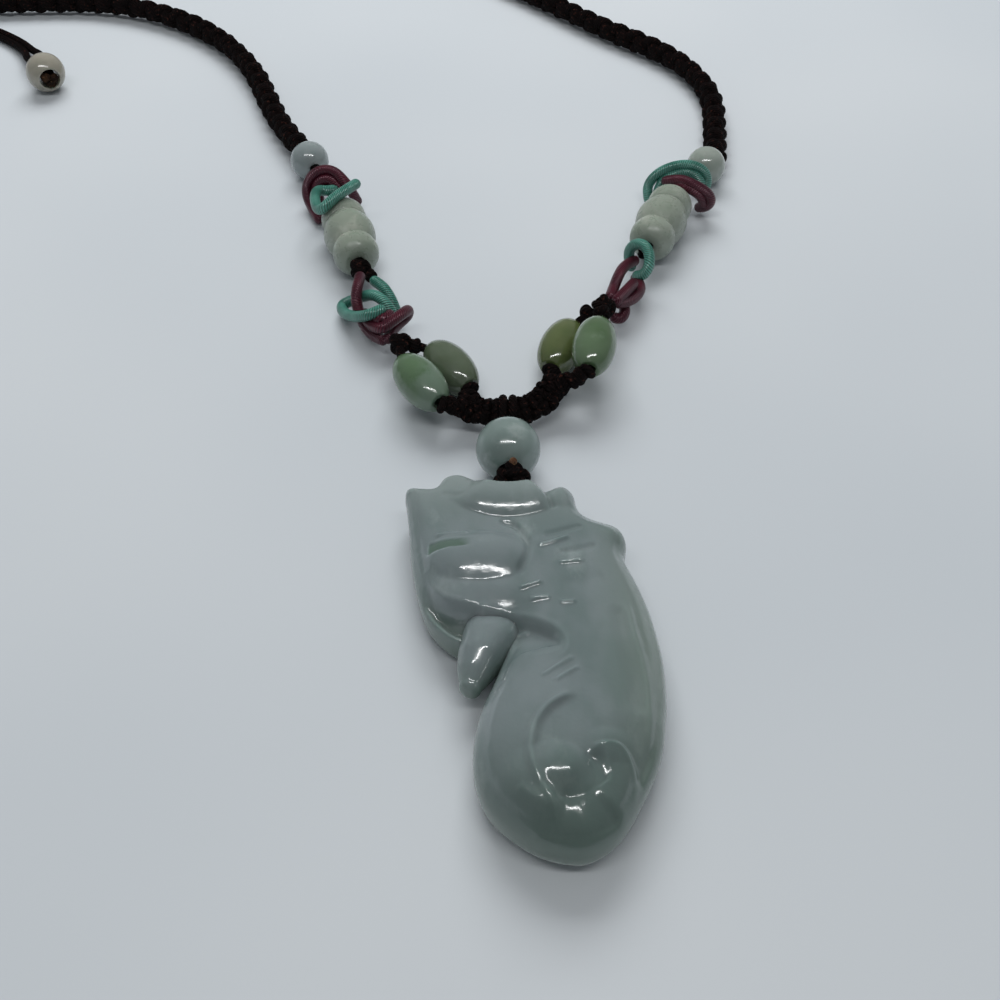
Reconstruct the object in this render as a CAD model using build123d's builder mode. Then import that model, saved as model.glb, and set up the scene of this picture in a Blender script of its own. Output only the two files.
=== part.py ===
from build123d import *
import os
from math import cos, exp, hypot, pi, radians, sin, sqrt, tan

# Jade dragon pendant on a braided cord necklace, laid out flat on a table.
# Millimetres, +Z up. The origin is on the pendant's flat back, where it rests on the table,
# +Y runs from the dragon's tail towards the back of the neck, and +X to the right.

# Pendant
PENDANT_LENGTH = 47.7
PENDANT_WIDTH = 28.6
PENDANT_THICKNESS = 10.5
PENDANT_FOOT_Y = -22.8
TUSK_LENGTH = 10.3
TUSK_WIDTH = 6.0
TUSK_THICKNESS = 3.9
TUSK_HEIGHT = 4.6
BORE_DIAMETER = 2.2
BORE_MOUTH_HEIGHT = 3.4
BACK_GROOVE_DEPTH = 1.8
BACK_GROOVE_LENGTH = 7.0

# Beads: diameters, lengths and drilled holes
MAIN_BEAD_DIAMETER = 8.0
SIDE_BEAD_DIAMETER = 6.0
END_BEAD_DIAMETER = 6.5
END_BEAD_HOLE = 3.4
BEAD_HOLE = 1.6
MAIN_BEAD_HOLE = 2.5
BARREL_DIAMETER = 5.8
BARREL_END_DIAMETER = 3.6
BARREL_LENGTH = 9.3
RIBBED_LENGTH = 13.0
RIBBED_MIDDLE_DIAMETER = 7.5
RIBBED_END_DIAMETER = 6.6
RIBBED_GROOVE_DEPTH = 0.35
RIBBED_MIDDLE_LENGTH = 5.6

# Cords and knots
BRAID_DIAMETER = 4.4
BRAID_START_GAP = 0.45
STRAND_SPACING = 1.0
BAND_WIDTH = 4.0
BAND_THICKNESS = 2.7
BAND_HEIGHT = 2.7
BAND_END_STEP = 2.6
BAND_BRANCH_DIAMETER = 2.2
SILK_DIAMETER = 1.7
THREAD_DIAMETER = 1.2
DROP_CORD_DIAMETER = 1.1
WRAP_LENGTH = 2.4
WRAP_CLEARANCE = 0.35
TOP_KNOT_WIDTH = 4.0
TOP_KNOT_DEPTH = 2.3
TOP_KNOT_HEIGHT = 4.0
HOLE_KNOT_DIAMETER = 3.4
JOINING_KNOT_DIAMETER = 3.2
TAIL_CORD_DIAMETER = 1.3
SLIDING_KNOT_DIAMETER = 4.6
SLIDING_KNOT_LENGTH = 10.0

# Clearances
GAP = 0.15
HOLE_CLEARANCE = 0.1
HOLE_RIM = 0.15

# Dragon body, one row for each section from the foot of the tail to the rim of the crown:
# along as a share of the length, left and right edge as shares of the width from the origin
# line, base and top as shares of the thickness
BODY_SECTIONS = [
    # along, left, right, base, top
    (0.000, 0.045, 0.155, 0.34, 0.42),
    (0.012, -0.022, 0.195, 0.28, 0.56),
    (0.030, -0.075, 0.235, 0.19, 0.68),
    (0.052, -0.120, 0.268, 0.09, 0.77),
    (0.074, -0.150, 0.290, 0.02, 0.81),
    (0.100, -0.172, 0.316, 0.00, 0.84),
    (0.143, -0.213, 0.357, 0.00, 0.88),
    (0.205, -0.234, 0.413, 0.00, 0.88),
    (0.268, -0.234, 0.441, 0.00, 0.87),
    (0.331, -0.217, 0.460, 0.00, 0.86),
    (0.394, -0.178, 0.469, 0.00, 0.86),
    (0.457, -0.136, 0.469, 0.00, 0.86),
    (0.499, -0.105, 0.458, 0.00, 0.84),
    (0.524, -0.192, 0.455, 0.00, 0.83),
    (0.545, -0.343, 0.449, 0.00, 0.82),
    (0.574, -0.406, 0.441, 0.00, 0.81),
    (0.625, -0.448, 0.423, 0.00, 0.80),
    (0.688, -0.472, 0.388, 0.00, 0.80),
    (0.738, -0.486, 0.350, 0.00, 0.80),
    (0.755, -0.491, 0.346, 0.00, 0.79),
    (0.784, -0.497, 0.371, 0.00, 0.78),
    (0.818, -0.503, 0.367, 0.00, 0.77),
    (0.843, -0.507, 0.329, 0.00, 0.76),
    (0.868, -0.510, 0.241, 0.00, 0.75),
    (0.897, -0.516, 0.182, 0.00, 0.74),
    (0.927, -0.523, 0.150, 0.00, 0.73),
    (0.952, -0.527, 0.146, 0.00, 0.72),
    (0.975, -0.530, 0.140, 0.01, 0.70),
    (0.991, -0.524, 0.128, 0.04, 0.66),
    (1.000, -0.508, 0.105, 0.09, 0.59),
]
SECTION_STEPS = 24
SECTION_SQUARENESS = 2.5
WAIST_SHARE = 0.34
BASE_SHARE = 0.90

# Rises and hollows of the carving: centre across and along as shares of the width and length,
# half size across and along likewise, and the rise as a share of the thickness
CARVED_FORMS = [
    # name, across, along, half_across, half_along, rise
    ("cheek", -0.235, 0.740, 0.200, 0.115, 0.085),
    ("crown rim", -0.160, 0.935, 0.300, 0.045, 0.080),
    ("groove under the rim", -0.170, 0.870, 0.280, 0.020, -0.050),
    ("foot curl", 0.110, 0.160, 0.260, 0.145, 0.070),
    ("spiral", 0.080, 0.210, 0.115, 0.070, 0.060),
    ("hollow behind the jaw", -0.010, 0.470, 0.105, 0.050, -0.190),
    ("jaw", -0.430, 0.635, 0.085, 0.095, -0.220),
    ("chin", -0.300, 0.550, 0.150, 0.040, -0.220),
    ("lip", -0.500, 0.760, 0.055, 0.120, -0.140),
    ("crest", 0.420, 0.360, 0.045, 0.260, -0.080),
    ("mane fan", 0.170, 0.740, 0.120, 0.100, -0.050),
]

# Tusk that stands free of the body: share of its length, of its width and of its thickness
TUSK_SECTIONS = [
    # along, wide, thick
    (0.00, 0.82, 0.80),
    (0.22, 0.97, 0.96),
    (0.42, 1.00, 1.00),
    (0.62, 0.91, 0.94),
    (0.80, 0.68, 0.76),
    (0.92, 0.42, 0.52),
    (0.98, 0.20, 0.28),
]
TUSK_ROOT = (-5.3, 4.9)
TUSK_TIP_DIRECTION = (-0.252, -0.968)

# Height along Y of the pendant's head for which the places and routes below were chosen
DRAWN_HEAD_Y = 24.9

# Places of the beads on the string, left and right of the pendant. Each axis points to the pendant.
# The lower barrel is placed by its end next to the front band. The lumps of the joining knots are
# placed from the middle between the far ends of the two barrels, with their share of its thickness.
BEAD_PLACES = {
    "left": {
        "knot_lumps": [(-2.45, 1.87, 0.63, 1.00), (-0.55, 2.27, -0.37, 0.66)],
        "lower_barrel_end": (-7.91, 43.64),
        "barrel_axis": (0.557, -0.831),
        "barrel_roll": 17.0,
        "barrel_slide": 1.8,
        "barrel_turn": 0.0,
        "band_share": 0.75,
        "ribbed": (-26.0, 75.3),
        "ribbed_axis": (0.285, -0.958),
        "hole_knot": 1.0,
        "side_bead": (-34.1, 96.2),
    },
    "right": {
        "knot_lumps": [(2.60, 2.96, 0.94, 1.10), (0.40, 3.16, -0.26, 0.70), (2.20, 0.56, 1.54, 0.80)],
        "lower_barrel_end": (2.59, 47.34),
        "barrel_axis": (-0.270, -0.963),
        "barrel_roll": 34.0,
        "barrel_slide": 2.4,
        "barrel_turn": 4.6,
        "band_share": 0.50,
        "ribbed": (19.9, 78.8),
        "ribbed_axis": (-0.377, -0.926),
        "hole_knot": 0.65,
        "side_bead": (28.4, 94.7),
    },
}
STRING_X = -3.0

# Routes of the cords, each a list of points chosen by hand
BAND_ROUTE_FROM_STRING = [(-4.9, 0.6), (-2.4, 0.1), (0.0, 0.0), (2.5, 0.6), (4.7, 2.2)]
BRAID_ROUTES = {
    "left": [
        (-39.4, 106.4, 2.2),
        (-42.7, 114.1, 2.2),
        (-45.8, 122.9, 2.2),
        (-50.3, 131.4, 2.2),
        (-55.8, 138.0, 2.2),
        (-62.6, 143.6, 2.2),
        (-71.0, 148.2, 2.2),
        (-80.8, 150.6, 2.2),
        (-92.0, 150.4, 2.2),
        (-103.5, 149.6, 2.2),
    ],
    "right": [
        (31.4, 108.2, 2.2),
        (31.9, 114.4, 2.2),
        (31.0, 120.9, 2.2),
        (27.8, 128.1, 2.2),
        (22.6, 133.8, 2.2),
        (16.4, 139.0, 2.2),
        (10.2, 145.2, 2.2),
        (1.8, 153.9, 2.2),
        (-10.0, 165.4, 2.2),
        (-25.0, 178.4, 2.2),
        (-43.0, 190.0, 2.2),
        (-63.0, 198.4, 2.2),
        (-84.0, 201.4, 2.2),
        (-104.0, 198.0, 2.2),
        (-118.5, 188.2, 2.2),
        (-125.6, 176.0, 2.2),
    ],
}
LINK_ROUTES = {
    "left": [(-103.95, 149.55, 2.3), (-107.6, 150.2, 2.5), (-111.6, 152.3, 2.9)],
    "right": [(-125.9, 175.5, 2.3), (-127.6, 165.4, 2.6), (-120.6, 158.6, 2.9)],
}
TAIL_ROUTES = {
    "left": [
        (-111.8, 152.1, 0.8),
        (-104.0, 145.6, 0.8),
        (-95.6, 141.0, 0.8),
        (-88.4, 134.4, 1.2),
        (-83.6, 125.1, 3.2),
    ],
    "right": [
        (-120.6, 158.6, 0.8),
        (-124.2, 163.6, 0.8),
        (-121.0, 169.2, 0.8),
        (-115.6, 173.4, 0.8),
        (-109.0, 176.4, 1.4),
        (-102.2, 180.3, 3.2),
    ],
}
SLIDING_KNOT_PLACE = (-116.0, 155.4)
SLIDING_KNOT_AXIS = (0.82, -0.572)
END_BEAD_PLACES = {
    "left": {"place": (-82.3, 122.9), "axis": (0.50, -0.866)},
    "right": {"place": (-100.0, 181.6), "axis": (0.86, 0.51)},
}

SILK_ROUTES = {
    "burgundy_knot_lower_left": [
        [(-23.0, 64.8, 4.7), (-23.5, 62.6, 4.6), (-23.7, 61.4, 3.2), (-23.3, 59.8, 1.2),
         (-21.8, 58.2, 0.9)],
        [(-16.4, 57.9, 4.4), (-18.2, 56.6, 4.4), (-20.0, 55.6, 3.6), (-21.8, 56.2, 2.4),
         (-22.0, 54.7, 1.6), (-20.6, 53.0, 1.6), (-19.0, 51.8, 1.9)],
    ],
    "teal_knot_lower_left": [
        [(-21.3, 65.5, 4.2), (-19.4, 63.6, 3.6), (-18.3, 61.8, 2.4), (-18.0, 60.1, 0.9)],
        [(-18.9, 58.7, 2.2), (-20.0, 60.7, 3.4), (-21.8, 62.2, 2.7), (-24.0, 63.7, 1.2),
         (-26.3, 63.6, 0.9), (-26.7, 61.2, 1.6), (-24.8, 59.0, 3.1), (-21.9, 58.3, 3.6)],
    ],
    "burgundy_knot_lower_right": [
        [(16.0, 68.6, 2.0), (14.6, 70.4, 3.1), (12.6, 69.8, 3.6), (12.0, 66.8, 3.5),
         (12.0, 63.6, 3.7), (12.6, 61.6, 4.2)],
        [(15.8, 65.4, 0.9), (15.6, 63.4, 1.4), (14.4, 61.8, 1.9), (13.3, 60.2, 1.6),
         (13.6, 57.6, 0.9)],
    ],
    "teal_knot_lower_right": [
        [(14.1, 71.8, 0.9), (14.3, 72.4, 3.2), (15.3, 71.0, 5.4), (16.8, 69.6, 5.7),
         (17.0, 67.9, 4.7), (16.2, 66.7, 3.3), (15.6, 66.1, 2.8)],
    ],
    "burgundy_loop_upper_left": [
        [(-31.6, 80.6, 0.9), (-33.4, 83.9, 1.4), (-34.0, 86.3, 3.2), (-33.2, 87.8, 5.2),
         (-30.9, 88.3, 6.2), (-28.6, 88.2, 5.4), (-26.8, 87.2, 3.4), (-25.0, 85.6, 0.9)],
    ],
    "teal_loop_upper_left": [
        [(-25.2, 83.8, 7.4), (-27.2, 82.9, 7.5), (-29.6, 82.0, 6.9), (-31.6, 81.5, 4.6)],
        [(-31.6, 81.5, 4.6), (-31.8, 84.4, 3.4)],
    ],
    "teal_loop_upper_right": [
        [(18.2, 86.9, 0.9), (18.6, 88.2, 3.4), (20.8, 88.4, 6.2), (23.7, 88.6, 7.0),
         (26.4, 89.1, 5.6), (28.0, 90.0, 2.6)],
    ],
    "burgundy_loop_upper_right": [
        [(21.2, 86.5, 5.7), (23.3, 86.7, 5.6), (25.4, 85.7, 5.2), (27.3, 84.8, 4.2),
         (28.1, 84.4, 2.6), (27.0, 84.9, 0.9)],
    ],
}

PENDANT_HEAD_Y = PENDANT_FOOT_Y + PENDANT_LENGTH


def carved_rise(x, y):
    """Height of the carving over the plain body at one place."""
    rise = 0.0
    for name, across, along, half_across, half_along, share in CARVED_FORMS:
        u = (x - across * PENDANT_WIDTH) / (half_across * PENDANT_WIDTH)
        v = (y - PENDANT_FOOT_Y - along * PENDANT_LENGTH) / (half_along * PENDANT_LENGTH)
        rise += share * PENDANT_THICKNESS * exp(-u * u - v * v)
    return rise


def body_section(along, left, right, base, top):
    """Points of one section of the dragon body, across and up, from its left base edge."""
    half = (right - left) * PENDANT_WIDTH / 2
    middle = (right + left) * PENDANT_WIDTH / 2
    foot = base * PENDANT_THICKNESS
    height = top * PENDANT_THICKNESS
    waist = foot + WAIST_SHARE * (height - foot)
    y = PENDANT_FOOT_Y + along * PENDANT_LENGTH
    points = [(middle - half * BASE_SHARE, foot)]
    for step in range(SECTION_STEPS + 1):
        angle = pi * (1 - step / SECTION_STEPS)
        side = 1 if cos(angle) > 0 else -1
        x = middle + half * side * abs(cos(angle)) ** (2 / SECTION_SQUARENESS)
        lift = abs(sin(angle)) ** (2 / SECTION_SQUARENESS)
        z = waist + (height - waist) * lift + carved_rise(x, y) * lift * top
        points.append((x, z))
    points.append((middle + half * BASE_SHARE, foot))
    return points


def axis_plane(place, direction):
    """Plane whose normal runs along a bead's or a cord's axis."""
    return Plane(origin=place, z_dir=direction)


def profile_plane(place, direction):
    """Plane through an axis: its x runs along the axis and its y away from it, upwards."""
    return Plane(origin=place, x_dir=direction, z_dir=Vector(*direction).cross(Vector(0, 0, 1)))


def on_string(place):
    """A chosen place or route point, moved along Y as the pendant's head is."""
    x, y, *height = place
    return (x, y + PENDANT_HEAD_Y - DRAWN_HEAD_Y, *height)


def level(direction):
    """A direction in the table's plane, of unit length."""
    size = hypot(direction[0], direction[1])
    return Vector(direction[0] / size, direction[1] / size, 0)


def turned(direction, degrees):
    """A direction turned about the upright axis."""
    return direction.rotate(Axis.Z, degrees)


def add_rods(points, diameter):
    """Add straight round rods from point to point, with a ball at each point."""
    points = [Vector(*point) for point in points]
    for start, end in zip(points, points[1:]):
        run = end - start
        with Locations(Plane(origin=(start + end) * 0.5, z_dir=run)):
            Cylinder(diameter / 2, run.length)
    with Locations(*points):
        Sphere(diameter / 2)


def bend_radii(route):
    """Bend radius at each inner point of a route: as large as its two runs allow."""
    points = [Vector(*p) for p in route]
    radii = []
    for before, here, after in zip(points, points[1:], points[2:]):
        turn = radians((here - before).get_angle(after - here))
        shorter = min((here - before).length, (after - here).length)
        radii.append(0.45 * shorter / tan(turn / 2))
    print("bend radii", [round(radius, 1) for radius in radii])
    return radii


def add_tube(route, diameter):
    """Sweep a round cord along a route of straight runs and tangent arcs."""
    with BuildLine() as path:
        FilletPolyline(*route, radius=bend_radii(route))
    with BuildSketch(Plane(origin=path.line @ 0, z_dir=path.line % 0)) as section:
        Circle(diameter / 2)
    sweep(sections=section.sketch, path=path.line)


def add_flat_pair(route, diameter):
    """Sweep two thin cords that lie side by side along one route."""
    with BuildLine() as path:
        FilletPolyline(*route, radius=bend_radii(route))
    start, heading = path.line @ 0, path.line % 0
    across = Vector(0, 0, 1).cross(heading)
    with BuildSketch(Plane(origin=start, x_dir=across, z_dir=heading)) as section:
        SlotOverall(2 * diameter, diameter)
    sweep(sections=section.sketch, path=path.line)


def add_cord(route, diameter):
    """Add one round cord with rounded ends, along a route of two points or more."""
    if len(route) == 2:
        add_rods(route, diameter)
        return
    add_tube(route, diameter)
    with Locations(route[0], route[-1]):
        Sphere(diameter / 2)


def add_turned_bead(place, direction, outline, hole):
    """Turn a drilled bead: its outline is given as points and arcs, along and away from the axis."""
    plane = profile_plane(place, direction)
    with BuildSketch(plane) as half_section:
        with BuildLine():
            for arc in outline:
                ThreePointArc(*arc)
            first, last = outline[0][0], outline[-1][-1]
            Polyline(last, (last[0], hole / 2), (first[0], hole / 2), first)
        make_face()
    revolve(profiles=half_section.sketch, axis=Axis(plane.origin, plane.x_dir))


def ball_outline(diameter, hole):
    """Outline of a drilled ball, with a flat rim round either end of its hole."""
    rim_radius = hole / 2 + HOLE_RIM
    rim = sqrt(diameter * diameter / 4 - rim_radius * rim_radius)
    return [((-rim, rim_radius), (0, diameter / 2), (rim, rim_radius))]


def barrel_pair(side):
    """Centre and axis of the lower and the upper barrel bead of one side."""
    places = BEAD_PLACES[side]
    hand = 1 if side == "right" else -1
    heading = level(places["barrel_axis"])
    beside = turned(heading, 90 * hand)
    roll = radians(places["barrel_roll"])
    spacing = BARREL_DIAMETER + GAP
    turn = places["barrel_turn"] * hand
    lower_axis, upper_axis = turned(heading, -turn), turned(heading, turn)
    lower_end = Vector(*on_string(places["lower_barrel_end"]), BARREL_DIAMETER / 2)
    lower = lower_end - lower_axis * (BARREL_LENGTH / 2)
    lift = Vector(0, 0, spacing * sin(roll))
    upper = lower + beside * (spacing * cos(roll)) + lift + heading * places["barrel_slide"]
    return [(lower, lower_axis), (upper, upper_axis)]


def band_end(side, next_point):
    """End of the front band, close to the lower holes of one side's barrel beads."""
    lower, upper = [centre + axis * (BARREL_LENGTH / 2) for centre, axis in barrel_pair(side)]
    share = BEAD_PLACES[side]["band_share"]
    middle = upper * share + lower * (1 - share)
    return middle + (next_point - middle).normalized() * BAND_END_STEP


def save(piece, label):
    """Name a finished piece and write it to its own file."""
    piece.part.label = label
    export_step(piece.part, f"parts/{label}.step")


os.makedirs("parts", exist_ok=True)

# Dragon pendant: the body lofted through its sections, with the free tusk and the cord bore
bore_mouth = Vector(STRING_X, PENDANT_HEAD_Y, BORE_MOUTH_HEIGHT)
groove_end = Vector(STRING_X, PENDANT_HEAD_Y - BACK_GROOVE_LENGTH, BACK_GROOVE_DEPTH / 2)
bore_run = bore_mouth - groove_end
tusk_heading = level(TUSK_TIP_DIRECTION)
tusk_root = Vector(*TUSK_ROOT, TUSK_HEIGHT)

with BuildPart() as dragon_pendant:
    for row in BODY_SECTIONS:
        section_y = PENDANT_FOOT_Y + row[0] * PENDANT_LENGTH
        with BuildSketch(Plane(origin=(0, section_y, 0), x_dir=(1, 0, 0), z_dir=(0, -1, 0))):
            with BuildLine():
                Polyline(*body_section(*row), close=True)
            make_face()
    loft(ruled=True)
    for along, wide, thick in TUSK_SECTIONS:
        with BuildSketch(axis_plane(tusk_root + tusk_heading * (along * TUSK_LENGTH), tusk_heading)):
            Ellipse(thick * TUSK_THICKNESS / 2, wide * TUSK_WIDTH / 2)
    loft()
    with Locations(axis_plane((bore_mouth + groove_end) * 0.5, bore_run)):
        Cylinder(BORE_DIAMETER / 2, bore_run.length + BORE_DIAMETER, mode=Mode.SUBTRACT)
    with Locations((STRING_X, PENDANT_HEAD_Y - BACK_GROOVE_LENGTH / 2, BACK_GROOVE_DEPTH / 2)):
        Box(BORE_DIAMETER, BACK_GROOVE_LENGTH, BACK_GROOVE_DEPTH, mode=Mode.SUBTRACT)
save(dragon_pendant, "dragon_pendant")

# Main bead above the pendant, drilled along the string
knot_y = PENDANT_HEAD_Y + GAP + TOP_KNOT_DEPTH / 2
main_radius = MAIN_BEAD_DIAMETER / 2
main_place = Vector(STRING_X, knot_y + TOP_KNOT_DEPTH / 2 + GAP + main_radius, main_radius)
main_axis = Vector(0, 1, 0)
with BuildPart() as main_bead:
    add_turned_bead(main_place, main_axis, ball_outline(MAIN_BEAD_DIAMETER, MAIN_BEAD_HOLE), MAIN_BEAD_HOLE)
save(main_bead, "main_bead")

# Drop cord: a loop through the pendant, the knot on it, two strands through the main bead and
# the turns that hold the front band
wrap_reach = BAND_WIDTH / 2 + WRAP_CLEARANCE + DROP_CORD_DIAMETER
wrap_rise = BAND_THICKNESS / 2 + WRAP_CLEARANCE + DROP_CORD_DIAMETER
band_y = main_place.Y + main_radius + GAP + wrap_reach
groove_height = BACK_GROOVE_DEPTH / 2
loop_top = bore_mouth + bore_run * ((knot_y - PENDANT_HEAD_Y) / bore_run.Y)
with BuildPart() as drop_cord:
    with Locations((STRING_X, knot_y, loop_top.Z)):
        knot_block = Box(TOP_KNOT_WIDTH, TOP_KNOT_DEPTH, TOP_KNOT_HEIGHT)
    fillet(knot_block.edges(), TOP_KNOT_DEPTH * 0.42)
    add_rods([loop_top, groove_end, (STRING_X, knot_y, groove_height)], DROP_CORD_DIAMETER)
    for strand in (-0.5, 0.5):
        strand_x = STRING_X + strand * STRAND_SPACING
        strand_start = (strand_x, knot_y, main_radius)
        strand_end = (strand_x, band_y - wrap_reach + DROP_CORD_DIAMETER, main_radius)
        add_rods([strand_start, strand_end], DROP_CORD_DIAMETER)
    with BuildSketch(Plane((STRING_X, band_y, BAND_HEIGHT), x_dir=(0, 1, 0), z_dir=(1, 0, 0))):
        Ellipse(wrap_reach, wrap_rise)
        Ellipse(wrap_reach - DROP_CORD_DIAMETER, wrap_rise - DROP_CORD_DIAMETER, mode=Mode.SUBTRACT)
    extrude(amount=WRAP_LENGTH / 2, both=True)
save(drop_cord, "drop_cord")

# Barrel beads, two side by side on each side
barrel_outline = [
    (
        (-BARREL_LENGTH / 2, BARREL_END_DIAMETER / 2),
        (0, BARREL_DIAMETER / 2),
        (BARREL_LENGTH / 2, BARREL_END_DIAMETER / 2),
    )
]
for side in BEAD_PLACES:
    for level_name, (centre, axis) in zip(("lower", "upper"), barrel_pair(side)):
        with BuildPart() as barrel_bead:
            add_turned_bead(centre, axis, barrel_outline, BEAD_HOLE)
        save(barrel_bead, f"barrel_bead_{side}_{level_name}")

# Front band: a flat knotted band whose ends part to the holes of the barrel beads
band_middle = [
    Vector(STRING_X + x, band_y + y, BAND_HEIGHT) for x, y in BAND_ROUTE_FROM_STRING
]
band_left = band_end("left", band_middle[0])
band_right = band_end("right", band_middle[-1])
band_route = [band_left, *band_middle, band_right]
with BuildPart() as front_band:
    with BuildLine() as band_path:
        FilletPolyline(*band_route, radius=bend_radii(band_route))
    band_start, band_heading = band_path.line @ 0, band_path.line % 0
    band_across = Vector(0, 0, 1).cross(band_heading)
    with BuildSketch(Plane(origin=band_start, x_dir=band_across, z_dir=band_heading)):
        Ellipse(BAND_WIDTH / 2, BAND_THICKNESS / 2)
    sweep(path=band_path.line)
    branch_reach = BARREL_LENGTH / 2 + GAP + BAND_BRANCH_DIAMETER / 2
    for side, end in (("left", band_left), ("right", band_right)):
        lower_hole, upper_hole = [centre + axis * branch_reach for centre, axis in barrel_pair(side)]
        add_rods([lower_hole, end, upper_hole], BAND_BRANCH_DIAMETER)
save(front_band, "front_band")

# Joining knots, each with a thread through either barrel bead
for side, places in BEAD_PLACES.items():
    thread_ends = [
        (
            centre + axis * (BARREL_LENGTH / 2 - THREAD_DIAMETER),
            centre - axis * (BARREL_LENGTH / 2 + 1.2 * THREAD_DIAMETER),
        )
        for centre, axis in barrel_pair(side)
    ]
    (lower_end, lower_top), (upper_end, upper_top) = thread_ends
    lower_far, upper_far = [centre - axis * (BARREL_LENGTH / 2) for centre, axis in barrel_pair(side)]
    lumps = [
        ((lower_far + upper_far) * 0.5 + Vector(*offset), share * JOINING_KNOT_DIAMETER)
        for *offset, share in places["knot_lumps"]
    ]
    with BuildPart() as joining_knot:
        add_tube([lower_end, lower_top, lumps[0][0], upper_top, upper_end], THREAD_DIAMETER)
        lump_axis = turned(level(places["barrel_axis"]), 90)
        for lump_place, lump_diameter in lumps:
            add_turned_bead(lump_place, lump_axis, ball_outline(lump_diameter, 0), 0)
    save(joining_knot, f"joining_knot_{side}")

# Ribbed beads, side beads, and the thread that carries both
half_length = RIBBED_LENGTH / 2
half_middle = RIBBED_MIDDLE_LENGTH / 2
groove_radius = RIBBED_END_DIAMETER / 2 - RIBBED_GROOVE_DEPTH
rib_middle = (half_length + half_middle) / 2
ribbed_outline = [
    ((-half_length, groove_radius), (-rib_middle, RIBBED_END_DIAMETER / 2), (-half_middle, groove_radius)),
    ((-half_middle, groove_radius), (0, RIBBED_MIDDLE_DIAMETER / 2), (half_middle, groove_radius)),
    ((half_middle, groove_radius), (rib_middle, RIBBED_END_DIAMETER / 2), (half_length, groove_radius)),
]
side_radius = SIDE_BEAD_DIAMETER / 2
braid_starts = {}
for side, places in BEAD_PLACES.items():
    ribbed_place = Vector(*on_string(places["ribbed"]), RIBBED_MIDDLE_DIAMETER / 2)
    ribbed_axis = level(places["ribbed_axis"])
    with BuildPart() as ribbed_bead:
        add_turned_bead(ribbed_place, ribbed_axis, ribbed_outline, BEAD_HOLE)
    save(ribbed_bead, f"ribbed_bead_{side}")

    side_place = Vector(*on_string(places["side_bead"]), side_radius)
    thread_turn = ribbed_place - ribbed_axis * (half_length + THREAD_DIAMETER)
    side_axis = (side_place - thread_turn).normalized()
    with BuildPart() as side_bead:
        add_turned_bead(side_place, side_axis, ball_outline(SIDE_BEAD_DIAMETER, BEAD_HOLE), BEAD_HOLE)
    save(side_bead, f"side_bead_{side}")

    braid_starts[side] = side_place + side_axis * (side_radius + BRAID_START_GAP)
    hole_knot_radius = places["hole_knot"] * HOLE_KNOT_DIAMETER / 2
    hole_knot_place = ribbed_place + ribbed_axis * (half_length + GAP + hole_knot_radius)
    with BuildPart() as core_thread:
        with Locations(hole_knot_place):
            Sphere(hole_knot_radius)
        thread_end = side_place + side_axis * (side_radius - THREAD_DIAMETER)
        add_rods([hole_knot_place, thread_turn, thread_end], THREAD_DIAMETER)
    save(core_thread, f"core_thread_{side}")

# Silk cords tied below and above the ribbed beads
for label, routes in SILK_ROUTES.items():
    with BuildPart() as silk_cord:
        for route in routes:
            add_cord([on_string(point) for point in route], SILK_DIAMETER)
    save(silk_cord, label)

# Braids, from the side beads round the neck
for side, route in BRAID_ROUTES.items():
    whole_route = [braid_starts[side], *[Vector(*on_string(point)) for point in route]]
    with BuildPart() as braid:
        add_tube(whole_route, BRAID_DIAMETER)
    save(braid, f"braid_{side}")

# Sliding knot behind the neck, and the thin cords that run between it and the braids
knot_axis = level(SLIDING_KNOT_AXIS)
knot_radius = SLIDING_KNOT_DIAMETER / 2
with BuildPart() as sliding_knot:
    with Locations(axis_plane((*on_string(SLIDING_KNOT_PLACE), knot_radius), knot_axis)):
        knot_body = Cylinder(knot_radius, SLIDING_KNOT_LENGTH)
    fillet(knot_body.edges(), knot_radius * 0.3)
save(sliding_knot, "sliding_knot")

for side, route in LINK_ROUTES.items():
    with BuildPart() as link_cords:
        add_flat_pair([on_string(point) for point in route], TAIL_CORD_DIAMETER)
    save(link_cords, f"link_cords_{side}")

# Free tails: two thin cords that end in the wide hole of an end bead
for side, route in TAIL_ROUTES.items():
    end_radius = END_BEAD_DIAMETER / 2
    end_place = Vector(*on_string(END_BEAD_PLACES[side]["place"]), end_radius)
    end_axis = level(END_BEAD_PLACES[side]["axis"])
    with BuildPart() as end_bead:
        add_turned_bead(end_place, end_axis, ball_outline(END_BEAD_DIAMETER, END_BEAD_HOLE), END_BEAD_HOLE)
    save(end_bead, f"end_bead_{side}")

    plug_length = END_BEAD_DIAMETER * 0.8
    with BuildPart() as tail_cords:
        add_flat_pair([on_string(point) for point in route], TAIL_CORD_DIAMETER)
        with Locations(axis_plane(end_place, end_axis)):
            Cylinder(END_BEAD_HOLE / 2 - HOLE_CLEARANCE, plug_length)
    save(tail_cords, f"tail_cords_{side}")
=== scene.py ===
"""Looks of a carved jade dragon pendant on a braided cord necklace, laid out flat on a pale table."""

import logging
from collections.abc import Callable, Sequence
from dataclasses import dataclass, field
from enum import Enum
from math import atan2, cos, hypot, pi, radians, sin, tau

import bmesh
import bpy
import numpy as np
from mathutils import Matrix, Vector

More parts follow.
